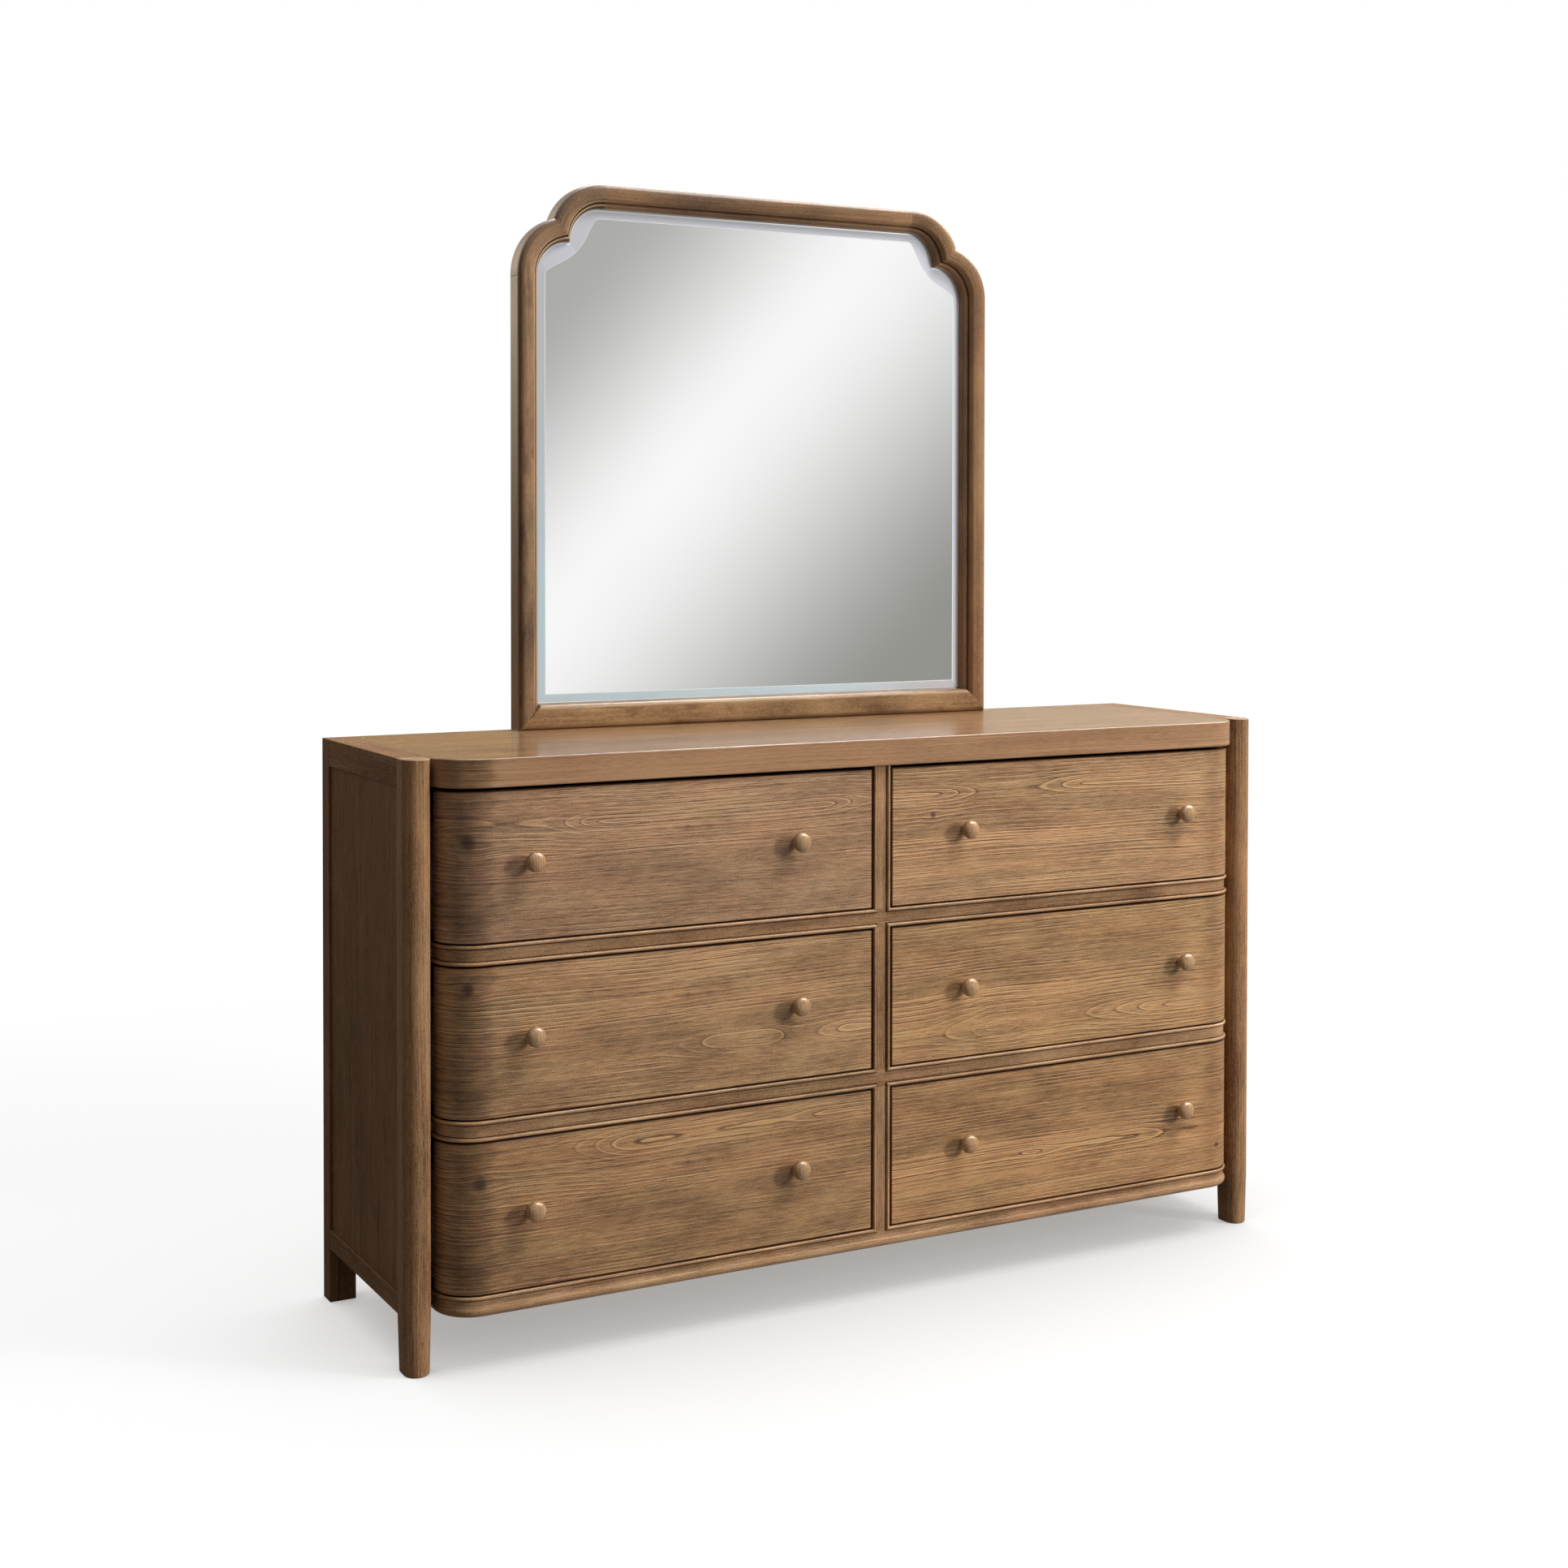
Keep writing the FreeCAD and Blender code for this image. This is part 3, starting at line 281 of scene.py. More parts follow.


def pine(name, pale, middle, deep, pith=0.0, flames=(), ring=0.0045, rings=1.0, relief=0.0002,
         brushed=1.0, blotch=1.0, stripes=0.3, narrow=60.0, knots=(), glaze_and_shade=None, worn=None,
         overlay_colour=None, tint=(1, 1, 1), roughness=0.5, shine=0.4, place=None, finish=None):
    """Stained pine.  Growth rings are shells round the pith, a line along the board at the height
    pith: at each whole ring width from it is a raised pale ridge beside a dark line.  A flame
    (where, how far, how deep) lets the pith sink behind the face, so shells close into pointed
    crowns there.  Stretched noise gives fibres, wider noise the uneven stain, and the lines where
    a noise passes a value the fine veins.  One function of the place darkens the colour as glaze
    and as painted shade; another mixes in a second colour as painted highlights and as a warmer
    stain."""
    f = finish or Finish(name)
    shades = [tuple(np.array(stain(code)) * (*tint, 1)) for code in (pale, middle, deep)]
    place = place or f.node("ShaderNodeAttribute", {"attribute_name": "grain"}, output="Vector")
    x, y, z = f.axes(place)
    small = f.noise(place, (9.0, 45.0, 45.0)) - 0.5
    across = y + (f.noise(place, (2.0, 6.0, 6.0), 1.0) - 0.5) * 0.018 + small * 0.0016
    knot_mark = None
    for knot_x, knot_y, knot_r in knots:
        from_x, from_y = x - knot_x, y - knot_y
        apart = (from_x * from_x * 0.35 + from_y * from_y).root()
        across = across - from_y * (1 - f.step(apart, 0.0, 3.5 * knot_r)) * 0.5
        core = 1 - f.step((from_x * from_x + from_y * from_y).root() + small * knot_r, 0.3 * knot_r, 1.3 * knot_r)
        knot_mark = core if knot_mark is None else knot_mark.maths("MAXIMUM", knot_mark, core)
    woven = f.vector(x, across, z)
    lean = z * 0.3 + (f.noise(place, (7.0, 2.0, 2.0), 1.0) - 0.5) * 0.007
    for where, length, depth in flames:
        lean = lean + f.step(x, where, where + length) * depth
    aside = across - pith
    away = (aside * aside + lean * lean).root()
    count = away * (1 / ring) + f.noise(woven, (1.3, 16.0, 16.0), 1.0) * 2.4
    part = count.maths("FRACT", count)
    steep = aside.size() * (away + 0.002).maths("POWER", away + 0.002, -1.0)
    wide = steep * 0.20 + 0.24
    ridge = f.step(part, 1 - wide, 1 - wide * 0.4) * (1 - f.step(part, 1 - wide * 0.15, 1.0))
    shadow = (1 - f.step(part, 0.0, wide * 0.7)) * f.step(part, 0.0, 0.03)
    shown = f.step(f.noise(woven, (3.0, 26.0, 26.0)), 0.35, 0.65)
    jitter = (f.noise(place, (55.0, 130.0, 130.0)) - 0.5) * 0.0022
    straight = f.vector(x, across - small * 0.0012 + jitter, z)
    bands = f.step(f.noise(straight, (5.0, 32.0, 32.0), 3.0, 0.6), 0.36, 0.62) * 0.8 + 0.2
    fibre = f.noise(straight, (50.0, 640.0, 640.0), 1.0)
    thread = f.noise(straight, (2.0, 460.0, 460.0), 1.0)
    cord = f.noise(straight, (0.9, 180.0, 180.0))
    pale_wire = 1 - f.ramp((cord - 0.565).size(), 0.0, 0.04)
    dark_wire = 1 - f.ramp((cord - 0.5).size(), 0.0, 0.04)
    wire = (pale_wire * 0.8 - dark_wire + (thread - 0.5) * 4.0) * bands * brushed
    grit = f.noise(place, (500.0, 700.0, 700.0), 1.0) - 0.5
    patch = f.noise(woven, (8.0, 20.0, 20.0))
    cloud = f.noise(woven, (2.0, 6.0, 6.0))
    streak = f.noise(straight, (1.0, narrow, narrow))
    heart = (1 - f.step(away, 0.006, 0.026)) * rings
    lines = (ridge * 0.55 - shadow * 0.60) * (shown + heart * 1.3) * rings
    stained = (patch - 0.5) * (0.7 * blotch) + (cloud - 0.5) * (0.6 * blotch) + (streak - 0.5) * (stripes * blotch)
    tone = 0.5 + stained + (fibre - 0.5) * (1.4 * brushed) + wire * 0.39 + grit * 1.5 + lines + heart * 0.2
    colour = f.mix(f.ramp(tone, -0.2, 0.5), shades[2], shades[1])
    colour = f.mix(f.ramp(tone, 0.5, 1.2), colour, shades[0])
    warm = f.noise(woven, (4.0, 20.0, 20.0))
    colour = f.mix(f.step(warm, 0.35, 0.65), f.times(colour, (0.985, 1.01, 0.99)), f.times(colour, (1.03, 0.98, 0.97)))
    fleck = f.noise(place, (90.0, 240.0, 240.0))
    colour = f.mix(f.ramp(fleck, 0.3, 0.7), f.times(colour, (0.965, 1.015, 1.05)),
                   f.times(colour, (1.035, 0.985, 0.93)))
    if knot_mark:
        colour = f.mix(knot_mark * 0.85, colour, stain("4a372a"))
    if glaze_and_shade:
        colour = f.mix(glaze_and_shade(f, x, y, z, small), colour, f.times(colour, GLAZE_AND_SHADE))
    if worn:
        colour = f.mix(worn(f, x, y, z, small), colour, stain(overlay_colour) if overlay_colour else shades[0])
    height = lines * 2.0 + wire * 0.8
    return f.surface(colour, f.ramp(tone, 0.0, 1.0) * -0.10 + (roughness + 0.05), f.bump(height, relief),
                     Specular_IOR_Level=shine)


UPPER_FACE = (0.9436, 0.9440)  # where the posts' upper rounds end, in metres


def edge_highlight(f, x, y, z, small):
    """Painted highlight: pale colour along the rounded upper edges, read from the height of the point itself."""
    aside, _, height = f.axes(f.object_place())
    edge = f.step(height, 0.9422, 0.9432) * (1 - f.step(height, 0.9438, 0.944))
    return edge * f.step(aside.size(), 0.7815, 0.784) * 0.5


def upper_face_shade(f, x, y, z, small):
    """Painted shade: darker upper faces."""
    return f.step(f.axes(f.object_place())[2], *UPPER_FACE) * 0.3


def post_side_shade(f, x, y, z, small):
    """Painted shade: darker flat outer sides and upper ends."""
    aside, _, height = f.axes(f.object_place())
    side = f.step(aside.size(), 0.8205, 0.8250) * 0.55
    return side.maths("MAXIMUM", side, f.step(height, *UPPER_FACE) * 0.45)


# These finishes paint shade on the upper faces and the posts' outer sides, and a highlight along the upper edges.
side_finish = pine("side_pine", "94714e", "7a5a3d", "4a3422", ring=0.006, rings=0.25, relief=0.00012, blotch=1.3,
                   shine=0.06, glaze_and_shade=upper_face_shade, worn=edge_highlight, overlay_colour="c3a078")
post_finish = pine("post_pine", "bb946e", "9d7856", "614530", ring=0.006, rings=0.3, relief=0.00012, brushed=0.7,
                   blotch=1.6, roughness=0.48, shine=0.2, glaze_and_shade=post_side_shade, worn=edge_highlight, overlay_colour="c3a078")


def front_post(side, sign, offset):
    """A post: each ring of points is the D-shaped plan drawn in by an inset, at one height.
    The front is a half circle and the two back corners are rounded."""
    radius, corner_r = FRAME_T / 2, 1.5
    heights = np.array([0.0, 0.7, 2.5, 20.0, 55.0, 90.0, 300.0, 600.0, 942.2, 943.2, 943.8, 944.0])
    inset = np.array([4.5, 3.2, 2.0, 1.55, 0.8, 0.0, 0.0, 0.0, 0.0, 0.3, 0.9, 1.8])[:, None]
    front, right, left = (np.radians(np.linspace(*span)) for span in ((180, 360, 33), (0, 90, 5), (90, 180, 5)))
    drawn = radius - inset
    back = POST_BACK - POST_FRONT - radius - inset - corner_r
    ring_x = np.concatenate([drawn * np.cos(front), drawn - corner_r + corner_r * np.cos(right),
                             corner_r - drawn + corner_r * np.cos(left)], axis=1)
    ring_y = np.concatenate([drawn * np.sin(front), back + corner_r * np.sin(right),
                             back + corner_r * np.sin(left)], axis=1)
    points = grid(sign * (HALF_W - radius) + ring_x, y_of(POST_FRONT + radius) + ring_y, heights[:, None])
    grain = board_grain(points, "z", offset)
    shell = Shell()
    shell.tube(points.transpose(1, 0, 2), grain.transpose(1, 0, 2))
    shell.piece("post_front_" + side, post_finish, "side_wood", "front_post_" + side, crease=50)


front_post("left", -1, 1000.0)
front_post("right", 1, 3000.0)

for sign, side in ((-1, "left"), (1, "right")):
    x0, x1 = sorted((sign * INNER_X, sign * HALF_W))
    shell = Shell()
    add_board(shell, (x0, y_of(REAR_FRONT), 0), (x1, y_of(DEPTH), CASE_H), "z", 5000.0 + 900 * sign)
    shell.piece("post_back_" + side, side_finish, "side_wood", "back_post_" + side)

RAIL_ENDS = y_of(POST_BACK), y_of(REAR_FRONT)
PANEL_OUT = HALF_W - PANEL_RECESS
SIDE_SLOT = SIDE_UNDER + SIDE_RAIL_H - TONGUE
for name, node, inner, outer, low, high, along, offset, apart in (
        ("side_rails_upper", "side_top_rails", INNER_X, HALF_W,
         (RAIL_ENDS[0], TOP_UNDER), (RAIL_ENDS[1], CASE_H), "y", 8000.0, 700),
        ("side_rails_lower", "side_bottom_rails", INNER_X, HALF_W,
         (RAIL_ENDS[0], SIDE_UNDER), (RAIL_ENDS[1], SIDE_UNDER + SIDE_RAIL_H), "y", 11000.0, 600),
        ("side_boards", "side_panels", PANEL_OUT - PANEL_T, PANEL_OUT,
         (RAIL_ENDS[0] - TONGUE, SIDE_SLOT), (RAIL_ENDS[1] + TONGUE, TOP_UNDER + TONGUE), "z", 14000.0, 500)):
    shell = Shell()
    add_pair(shell, inner, outer, low, high, along, offset, apart)
    shell.piece(name, side_finish, "side_wood", node)


# -------------------------------- inside and back of the case
# A middle partition, a dust board, two back rails and cleats carry the slides; a thin board
# closes the back.  Plain unstained pine and plywood, glued and screwed.
def plain_pine(name, order, pale="cfae85", middle="bd9970", deep="9d7a52", **more):
    """Unstained pine on a CAD piece, its fibres along the first axis of order."""
    f = Finish(name)
    parts = f.axes(f.object_place())
    return pine(name, pale, middle, deep, finish=f, place=f.vector(*[parts["xyz".index(axis)] for axis in order]),
                brushed=0.35, relief=0.0001, roughness=0.6, **more)


def dress(material, *nodes):
    """Gives CAD pieces a better material."""
    for node in nodes:
        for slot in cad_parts[node].material_slots:
            slot.material = material


dress(plain_pine("inner_pine_deep", "yzx"), "centre_partition", "slide_cleats")
dress(plain_pine("inner_pine_wide", "xyz"), "bottom_panel", "back_rails")
dress(plain_pine("back_ply", "xzy", "b99a76", "a98862", "8d6c49", ring=0.012, rings=0.7), "back_panel")


def steel(name, colour, roughness):
    """Zinc-plated steel with faint rolling streaks."""
    f = Finish(name)
    place = f.object_place()
    streak = f.noise(place, (90.0, 6.0, 900.0))
    cloud = f.noise(place, (30.0, 30.0, 30.0), 3.0)
    shade = f.mix(cloud, stain(colour), stain("8f9295"))
    return f.surface(shade, streak * 0.2 + roughness, f.bump(streak, 0.00004), Metallic=1.0)


slide_finish = steel("slide_zinc", "c4c6c8", 0.25)
dress(slide_finish, "slide_case_members")


# -------------------------------- front rails and stiles
# Each drawer opening is framed by a fine bead: two rails and the bottom rail sweep round the
# rounded corners, and short stiles stand between them, beads mitred where they cross.
CORNER_R, CORNER_X = 68.0, 709.0
BEAD_SETBACK, BEAD_D, QUIRK_W, QUIRK_SINK, FLAT_DEPTH = 5.0, 5.5, 1.8, 2.0, 9.0
RAIL_H, STILE_HALF, STILE_BACK = 31.5, 15.75, 27.0
BOTTOM_Z, BOTTOM_TOP, ROLL_R = 87.0, 119.3, 9.0
RAIL_Z = (357.3, 626.8)
BEAD_STEPS = 8
TAB_X = CORNER_X + 20  # the rails' square ends, up to the posts
TAB = (y_of(74.0), y_of(POST_BACK) - 0.5)


def recess_glaze_and_shade(f, x, y, z, small):
    """Darker the deeper a point lies behind the crest of the bead: glaze in the recess, and painted shade on the
    deepest faces inside the gaps.
    """
    return f.step(z + small * 0.003, 0.0065, 0.0105) * 0.48 + f.step(z, 0.0094, 0.0108) * 0.6


def crest_highlight(f, x, y, z, small):
    """Painted highlight: pale colour along the crest of the bead."""
    return (1 - f.step(z + small * 0.0006, 0.0053, 0.0066)) * 0.12


rail_finish = pine("rail_pine", "c9a27b", "9d7855", "654730", ring=0.005, rings=0.35, brushed=0.7, blotch=2.2,
                   roughness=0.32, shine=0.30, glaze_and_shade=recess_glaze_and_shade, worn=crest_highlight)

bead_turn = np.radians(np.linspace(180, 0, BEAD_STEPS + 1))
bead_w = np.concatenate([BEAD_D / 2 * (1 + np.cos(bead_turn)),
                         [BEAD_D + 0.25, BEAD_D + QUIRK_W - 0.25, BEAD_D + QUIRK_W + 0.1]])
bead_depth = np.concatenate([BEAD_SETBACK + BEAD_D / 2 * (1 - np.sin(bead_turn)),
                             [FLAT_DEPTH + QUIRK_SINK, FLAT_DEPTH + QUIRK_SINK, FLAT_DEPTH]])
FLAT_INDEX = len(bead_w) - 1


def front_path(reference, crossing=()):
    """Stations round the front: base points, outward directions and length along the reference
    depth.  A point at a depth lies (CORNER_R - depth) outwards of its base."""
    swing = np.radians(np.linspace(0, 90, 19))
    straight = np.linspace(STILE_HALF, CORNER_X, 14)
    half_x = np.concatenate([crossing, straight, np.full(len(swing) - 1, CORNER_X), [CORNER_X]])
    half_turn = np.concatenate([np.zeros(len(crossing) + len(straight)), swing[1:], [math.pi / 2]])
    half_back = np.zeros(len(half_x))
    half_back[-1] = POST_BACK - CORNER_R
    length = half_x + half_turn * (CORNER_R - reference) + half_back
    out = np.stack([np.sin(half_turn), -np.cos(half_turn)], axis=1)
    base = np.stack([half_x, y_of(CORNER_R) + half_back], axis=1)
    flip = np.array([-1.0, 1.0])
    keep = slice(1 if half_x[0] == 0 else 0, None)
    return (np.concatenate([(base[keep] * flip)[::-1], base]), np.concatenate([(out[keep] * flip)[::-1], out]),
            np.concatenate([-length[keep][::-1], length]))


def swept_front(shell, depths, heights, reference, offset, crossing=()):
    """Carries a section round the front and closes it along the back.  depths and heights are
    (stations, section) arrays or one section for all stations."""
    base, out, length = front_path(reference, crossing)
    length, heights, depths = np.broadcast_arrays(length[:, None], heights, depths)
    plan = base[:, None] + out[:, None] * (CORNER_R - depths)[..., None]
    points = grid(plan[..., 0], plan[..., 1], heights)
    shell.tube(points, grid(length, heights, depths) + (offset, offset, 0), board_grain(points, "x", offset))


stile_x = np.unique(np.round(np.concatenate([[0.0], STILE_HALF - bead_w]), 6))
crossing_x = stile_x[:-1] if stile_x[-1] == STILE_HALF else stile_x


def bead_index(distance):
    """Which line of the bead lies at a distance from the edge of the drawer's opening."""
    return np.abs(bead_w[None, :] - distance[:, None]).argmin(axis=1)


def crossed_depths(section_index, section_depth):
    """Depths where the stile's beads cross a rail: of the two profiles, the line further in from
    its own edge holds, which mitres them on the diagonals."""
    off = np.abs(front_path(BEAD_SETBACK, crossing_x)[2])
    across = np.where(off < STILE_HALF, bead_index(STILE_HALF - np.minimum(off, STILE_HALF)), -1)
    held = np.maximum(across[:, None], section_index[None, :])
    return np.where(section_index[None, :] < FLAT_INDEX, bead_depth[held], section_depth[None, :])


for name, z0, offset in (("rail_lower", RAIL_Z[0], 2000.0), ("rail_upper", RAIL_Z[1], 5000.0)):
    heights = np.concatenate([z0 + RAIL_H - bead_w, z0 + bead_w[::-1]])
    index = np.concatenate([np.arange(FLAT_INDEX + 1), np.arange(FLAT_INDEX + 1)[::-1]])
    shell = Shell()
    swept_front(shell, crossed_depths(index, bead_depth[index]), heights, BEAD_SETBACK, offset, crossing_x)
    add_pair(shell, TAB_X, INNER_X, (TAB[0], z0 + 7.3), (TAB[1], z0 + RAIL_H - 7.3), "x", offset, radius=0.5)
    shell.piece(name, rail_finish, "rail_wood", "front_" + name)

roll_turn = np.radians(np.linspace(45, -90, 13))
roll_w = BOTTOM_Z + ROLL_R + ROLL_R * np.sin(roll_turn)
roll_depth = BEAD_SETBACK + ROLL_R - ROLL_R * np.cos(roll_turn)
neck = ((BOTTOM_TOP - bead_w[-1]) + roll_w[0]) / 2
heights = np.concatenate([BOTTOM_TOP - bead_w, [neck + 0.2, neck - 0.2], roll_w])
depth_run = np.concatenate([bead_depth, [FLAT_DEPTH, FLAT_DEPTH - 0.05], roll_depth])
index = np.concatenate([np.arange(FLAT_INDEX + 1), np.full(len(roll_w) + 2, FLAT_INDEX)])
shell = Shell()
swept_front(shell, crossed_depths(index, depth_run), heights, BEAD_SETBACK, 9000.0, crossing_x)
add_pair(shell, TAB_X, INNER_X, (TAB[0], BOTTOM_Z + ROLL_R), (TAB[1], BOTTOM_TOP - 7.3), "x", 9000.0, radius=0.5)
shell.piece("rail_bottom", rail_finish, "rail_wood", "bottom_rail")

shell = Shell()
stile_spans = ((BOTTOM_TOP, RAIL_Z[0]), (RAIL_Z[0] + RAIL_H, RAIL_Z[1]), (RAIL_Z[1] + RAIL_H, TOP_UNDER))
for number, (z0, z1) in enumerate(stile_spans):
    run_x = np.concatenate([-STILE_HALF + bead_w, STILE_HALF - bead_w[::-1], [STILE_HALF, -STILE_HALF]])
    run_d = np.concatenate([bead_depth, bead_depth[::-1], [STILE_BACK, STILE_BACK]])
    points = grid(run_x[:, None], y_of(run_d)[:, None], np.array([z0, z1]))
    grain = board_grain(points, "z", 17000.0 + 800 * number)
    grain[..., 2] = run_d[:, None]
    shell.tube(points, grain)
shell.piece("stiles", rail_finish, "rail_wood", "centre_stiles")


# -------------------------------- top
# One board lies between the side frames.  A band under its front edge makes it look twice as
# thick and follows the same rounded corners.  Smoother than the drawers, with a satin finish.
TOP_T, TOP_ARRIS = 22.0, 2.5


def left_shade(f, x, small):
    """Painted shade where the left corner begins to bend."""
    run = x * -1 + small * 0.05
    return f.step(run, 0.684, 0.712) - f.step(run, 0.728, 0.762)


def on_edge(f, y):
    """1 on the edge of the top, whose grain lies at y below the front line."""
    return 1 - f.step(y, -0.2274, -0.2262)


def band_bend_shade(f, x, y, z, small):
    """The same painted shade on the edge of the top."""
    return left_shade(f, x, small) * on_edge(f, y) * 0.7


def band_warmth(f, x, y, z, small):
    """A warmer stain along the rest of that edge."""
    return (1 - left_shade(f, x, small)) * on_edge(f, y) * 0.4


top_finish = pine("top_pine", "bf9970", "9d7a59", "6b4f38", ring=0.007, rings=0.4, relief=0.00005, brushed=0.9,
                  blotch=1.1, stripes=1.5, narrow=22.0, roughness=0.19, shine=0.22, glaze_and_shade=band_bend_shade,
                  worn=band_warmth, overlay_colour="a67d60")


def add_edged(shell, line, out, length, heights, inset):
    """A flat board from its outline, drawn in by an inset at each height of its edge."""
    plan = line[:, None] - out[:, None] * inset[..., None]
    points = grid(plan[..., 0], plan[..., 1], heights)
    grain = grid(length[:, None], FRONT_Y - (CASE_H - heights), inset)
    shell.tube(points, grain, points * (1.0, 1.0, 0.0))


base, out, length = front_path(0.0)
front = base + out * CORNER_R
rear = np.array([[INNER_X, y_of(POST_BACK)], [INNER_X, y_of(DEPTH)], [-INNER_X, y_of(DEPTH)],
                 [-INNER_X, y_of(POST_BACK)]])
rear_out = np.array([[1.0, 0.0], [0.7, 0.7], [-0.7, 0.7], [-1.0, 0.0]])
worn = np.concatenate([np.full(len(front), TOP_ARRIS), np.full(4, 0.6)])[:, None]
swing = np.radians(np.linspace(0, 90, 5))
under = np.full((len(worn), 1), CASE_H - TOP_T)
shell = Shell()
add_edged(shell, np.concatenate([front, rear]), np.concatenate([out, rear_out]),
          np.concatenate([length, [900, 1300, -1300, -900]]),
          np.concatenate([under, CASE_H - worn * (1 - np.sin(swing))], axis=1),
          np.concatenate([0 * under, worn * (1 - np.cos(swing))], axis=1))
shell.piece("top_board", top_finish, "top_wood", "top_panel", crease=50)

shell = Shell()
add_edged(shell, front, out, length, np.concatenate([[CASE_H - TOP_T], TOP_UNDER + TOP_ARRIS * (1 - np.sin(swing))]),
          np.concatenate([[0.0], TOP_ARRIS * (1 - np.cos(swing))])[None])
add_pair(shell, TAB_X, INNER_X, (TAB[0], TOP_UNDER + 2.5), (TAB[1], CASE_H - TOP_T), "x", 500.0, radius=0.5)
shell.piece("top_band", top_finish, "top_wood", "top_front_band", crease=50)


# -------------------------------- drawers
# Six fronts of brushed pine, each bent round its outer corner, on plain pine boxes that run on
# steel slides.  Two turned knobs are glued into each front.
DRAWER_Z = {"lower": 121.8, "middle": 391.3, "upper": 660.8}
DRAWER_H, DRAWER_SETBACK, DRAWER_BACK, DRAWER_INNER_X = 232.0, 7.0, 27.0, 19.95
KNOB_X, KNOB_SPREAD, KNOB_RISE = 399.0, 234.0, 6.5
FACE_R = CORNER_R - DRAWER_SETBACK
FRONT_LENGTH = CORNER_X + FACE_R * math.pi / 2


def round_corner(points):
    """Bends a flat front: past the straight part, the length along it becomes an angle about the
    corner's centre, and the depth a distance from that centre."""
    side = np.sign(points[..., 0])
    run = np.abs(points[..., 0])
    turn = np.clip(run - CORNER_X, 0, None) / FACE_R
    base = np.minimum(run, CORNER_X)
    reach = CORNER_R - points[..., 1]
    return grid(side * (base + np.sin(turn) * reach), y_of(CORNER_R) - np.cos(turn) * reach, points[..., 2])


def gap_and_bend_shade(f, x, y, z, small):
    """Painted shade on the edges inside the gaps and round both bends."""
    edge = f.step(y.size(), 0.1144, 0.1153) + 1 - f.step(x.size(), 0.0210, 0.0219)
    right_shade = f.step(x + small * 0.03, 0.67, 0.71) - f.step(x, 0.75, 0.80) * 0.9
    return edge * 0.85 + left_shade(f, x, small) * 0.70 + right_shade * 0.4


front_looks = {  # pith, rings, blotch, tint, flames, knots
    "upper_left": (0.062, 0.75, 1.15, (0.96, 0.93, 0.98), ((-0.50, -0.12, 0.020), (-0.12, 0.10, 0.014)),
                   ((-0.735, 0.038, 0.013),)),
    "middle_left": (-0.040, 1.0, 1.5, (1.0, 0.96, 0.91),
                    ((-0.30, -0.12, 0.014), (-0.22, 0.05, 0.006), (-0.06, -0.08, 0.010)), ((-0.735, 0.085, 0.010),)),
    "lower_left": (0.088, 1.0, 1.6, (0.93, 0.87, 0.79), ((-0.43, -0.18, 0.024), (-0.10, -0.10, 0.008)),
                   ((-0.717, 0.055, 0.011),)),
    "upper_right": (0.068, 1.0, 1.2, (0.97, 0.93, 0.89), ((0.43, -0.12, 0.014), (0.20, -0.10, -0.012)),
                    ((0.101, 0.033, 0.006),)),
    "middle_right": (-0.068, 1.0, 1.4, (0.97, 0.92, 0.81),
                     ((0.24, -0.18, 0.014), (0.66, -0.30, 0.022), (0.17, 0.05, -0.006), (0.25, 0.06, 0.006)), ()),
    "lower_right": (-0.030, 1.0, 1.8, (0.94, 0.86, 0.74), ((0.25, 0.12, 0.014), (0.62, -0.10, -0.008)),
                    ((0.721, -0.072, 0.006),)),
}
box_sides = plain_pine("box_pine", "yzx", "d8bd96", "c9a97f", "ae8b60")
box_floor = plain_pine("box_ply", "xyz", "d3b78f", "c6a67c", "b08e66")
knob_finish = pine("knob_pine", "cca680", "ab8660", "70543b", ring=0.004, rings=0.5, relief=0.0001, brushed=0.6,
                   blotch=0.6, roughness=0.25, shine=0.6)


def turned_knob(shell, x, z, offset):
    """A turned knob: the outline of half a section, radius against reach, swung about its axis."""
    stem_r, head_r, reach, dome_h = 7.5, 16.0, 30.0, 10.5
    rim_r = head_r - stem_r
    rim_at = reach - dome_h
    dome_r = (stem_r ** 2 + dome_h ** 2 - rim_r ** 2) / (2 * (dome_h - rim_r))
    rim_end = math.atan2(rim_at - reach + dome_r, stem_r)
    rim = np.linspace(-math.pi / 2, rim_end, 14)
    dome = np.linspace(rim_end, math.pi / 2, 8)[1:]
    radii = np.concatenate([[0.0, 5.0, 5.0, stem_r, stem_r], stem_r + rim_r * np.cos(rim), dome_r * np.cos(dome)])
    reaches = np.concatenate([[-11.5, -11.5, 0.2, 0.2, rim_at - rim_r - 0.6], rim_at + rim_r * np.sin(rim),
                              reach - dome_r + dome_r * np.sin(dome)])
    radii = np.maximum(radii, 0.0)
    turn = np.linspace(0, 2 * math.pi, 40, endpoint=False)
    points = grid(x + radii * np.cos(turn)[:, None], y_of(DRAWER_SETBACK) - reaches,
                  z + radii * np.sin(turn)[:, None])
    shell.patch(points, board_grain(points, "z", offset), closed=True)


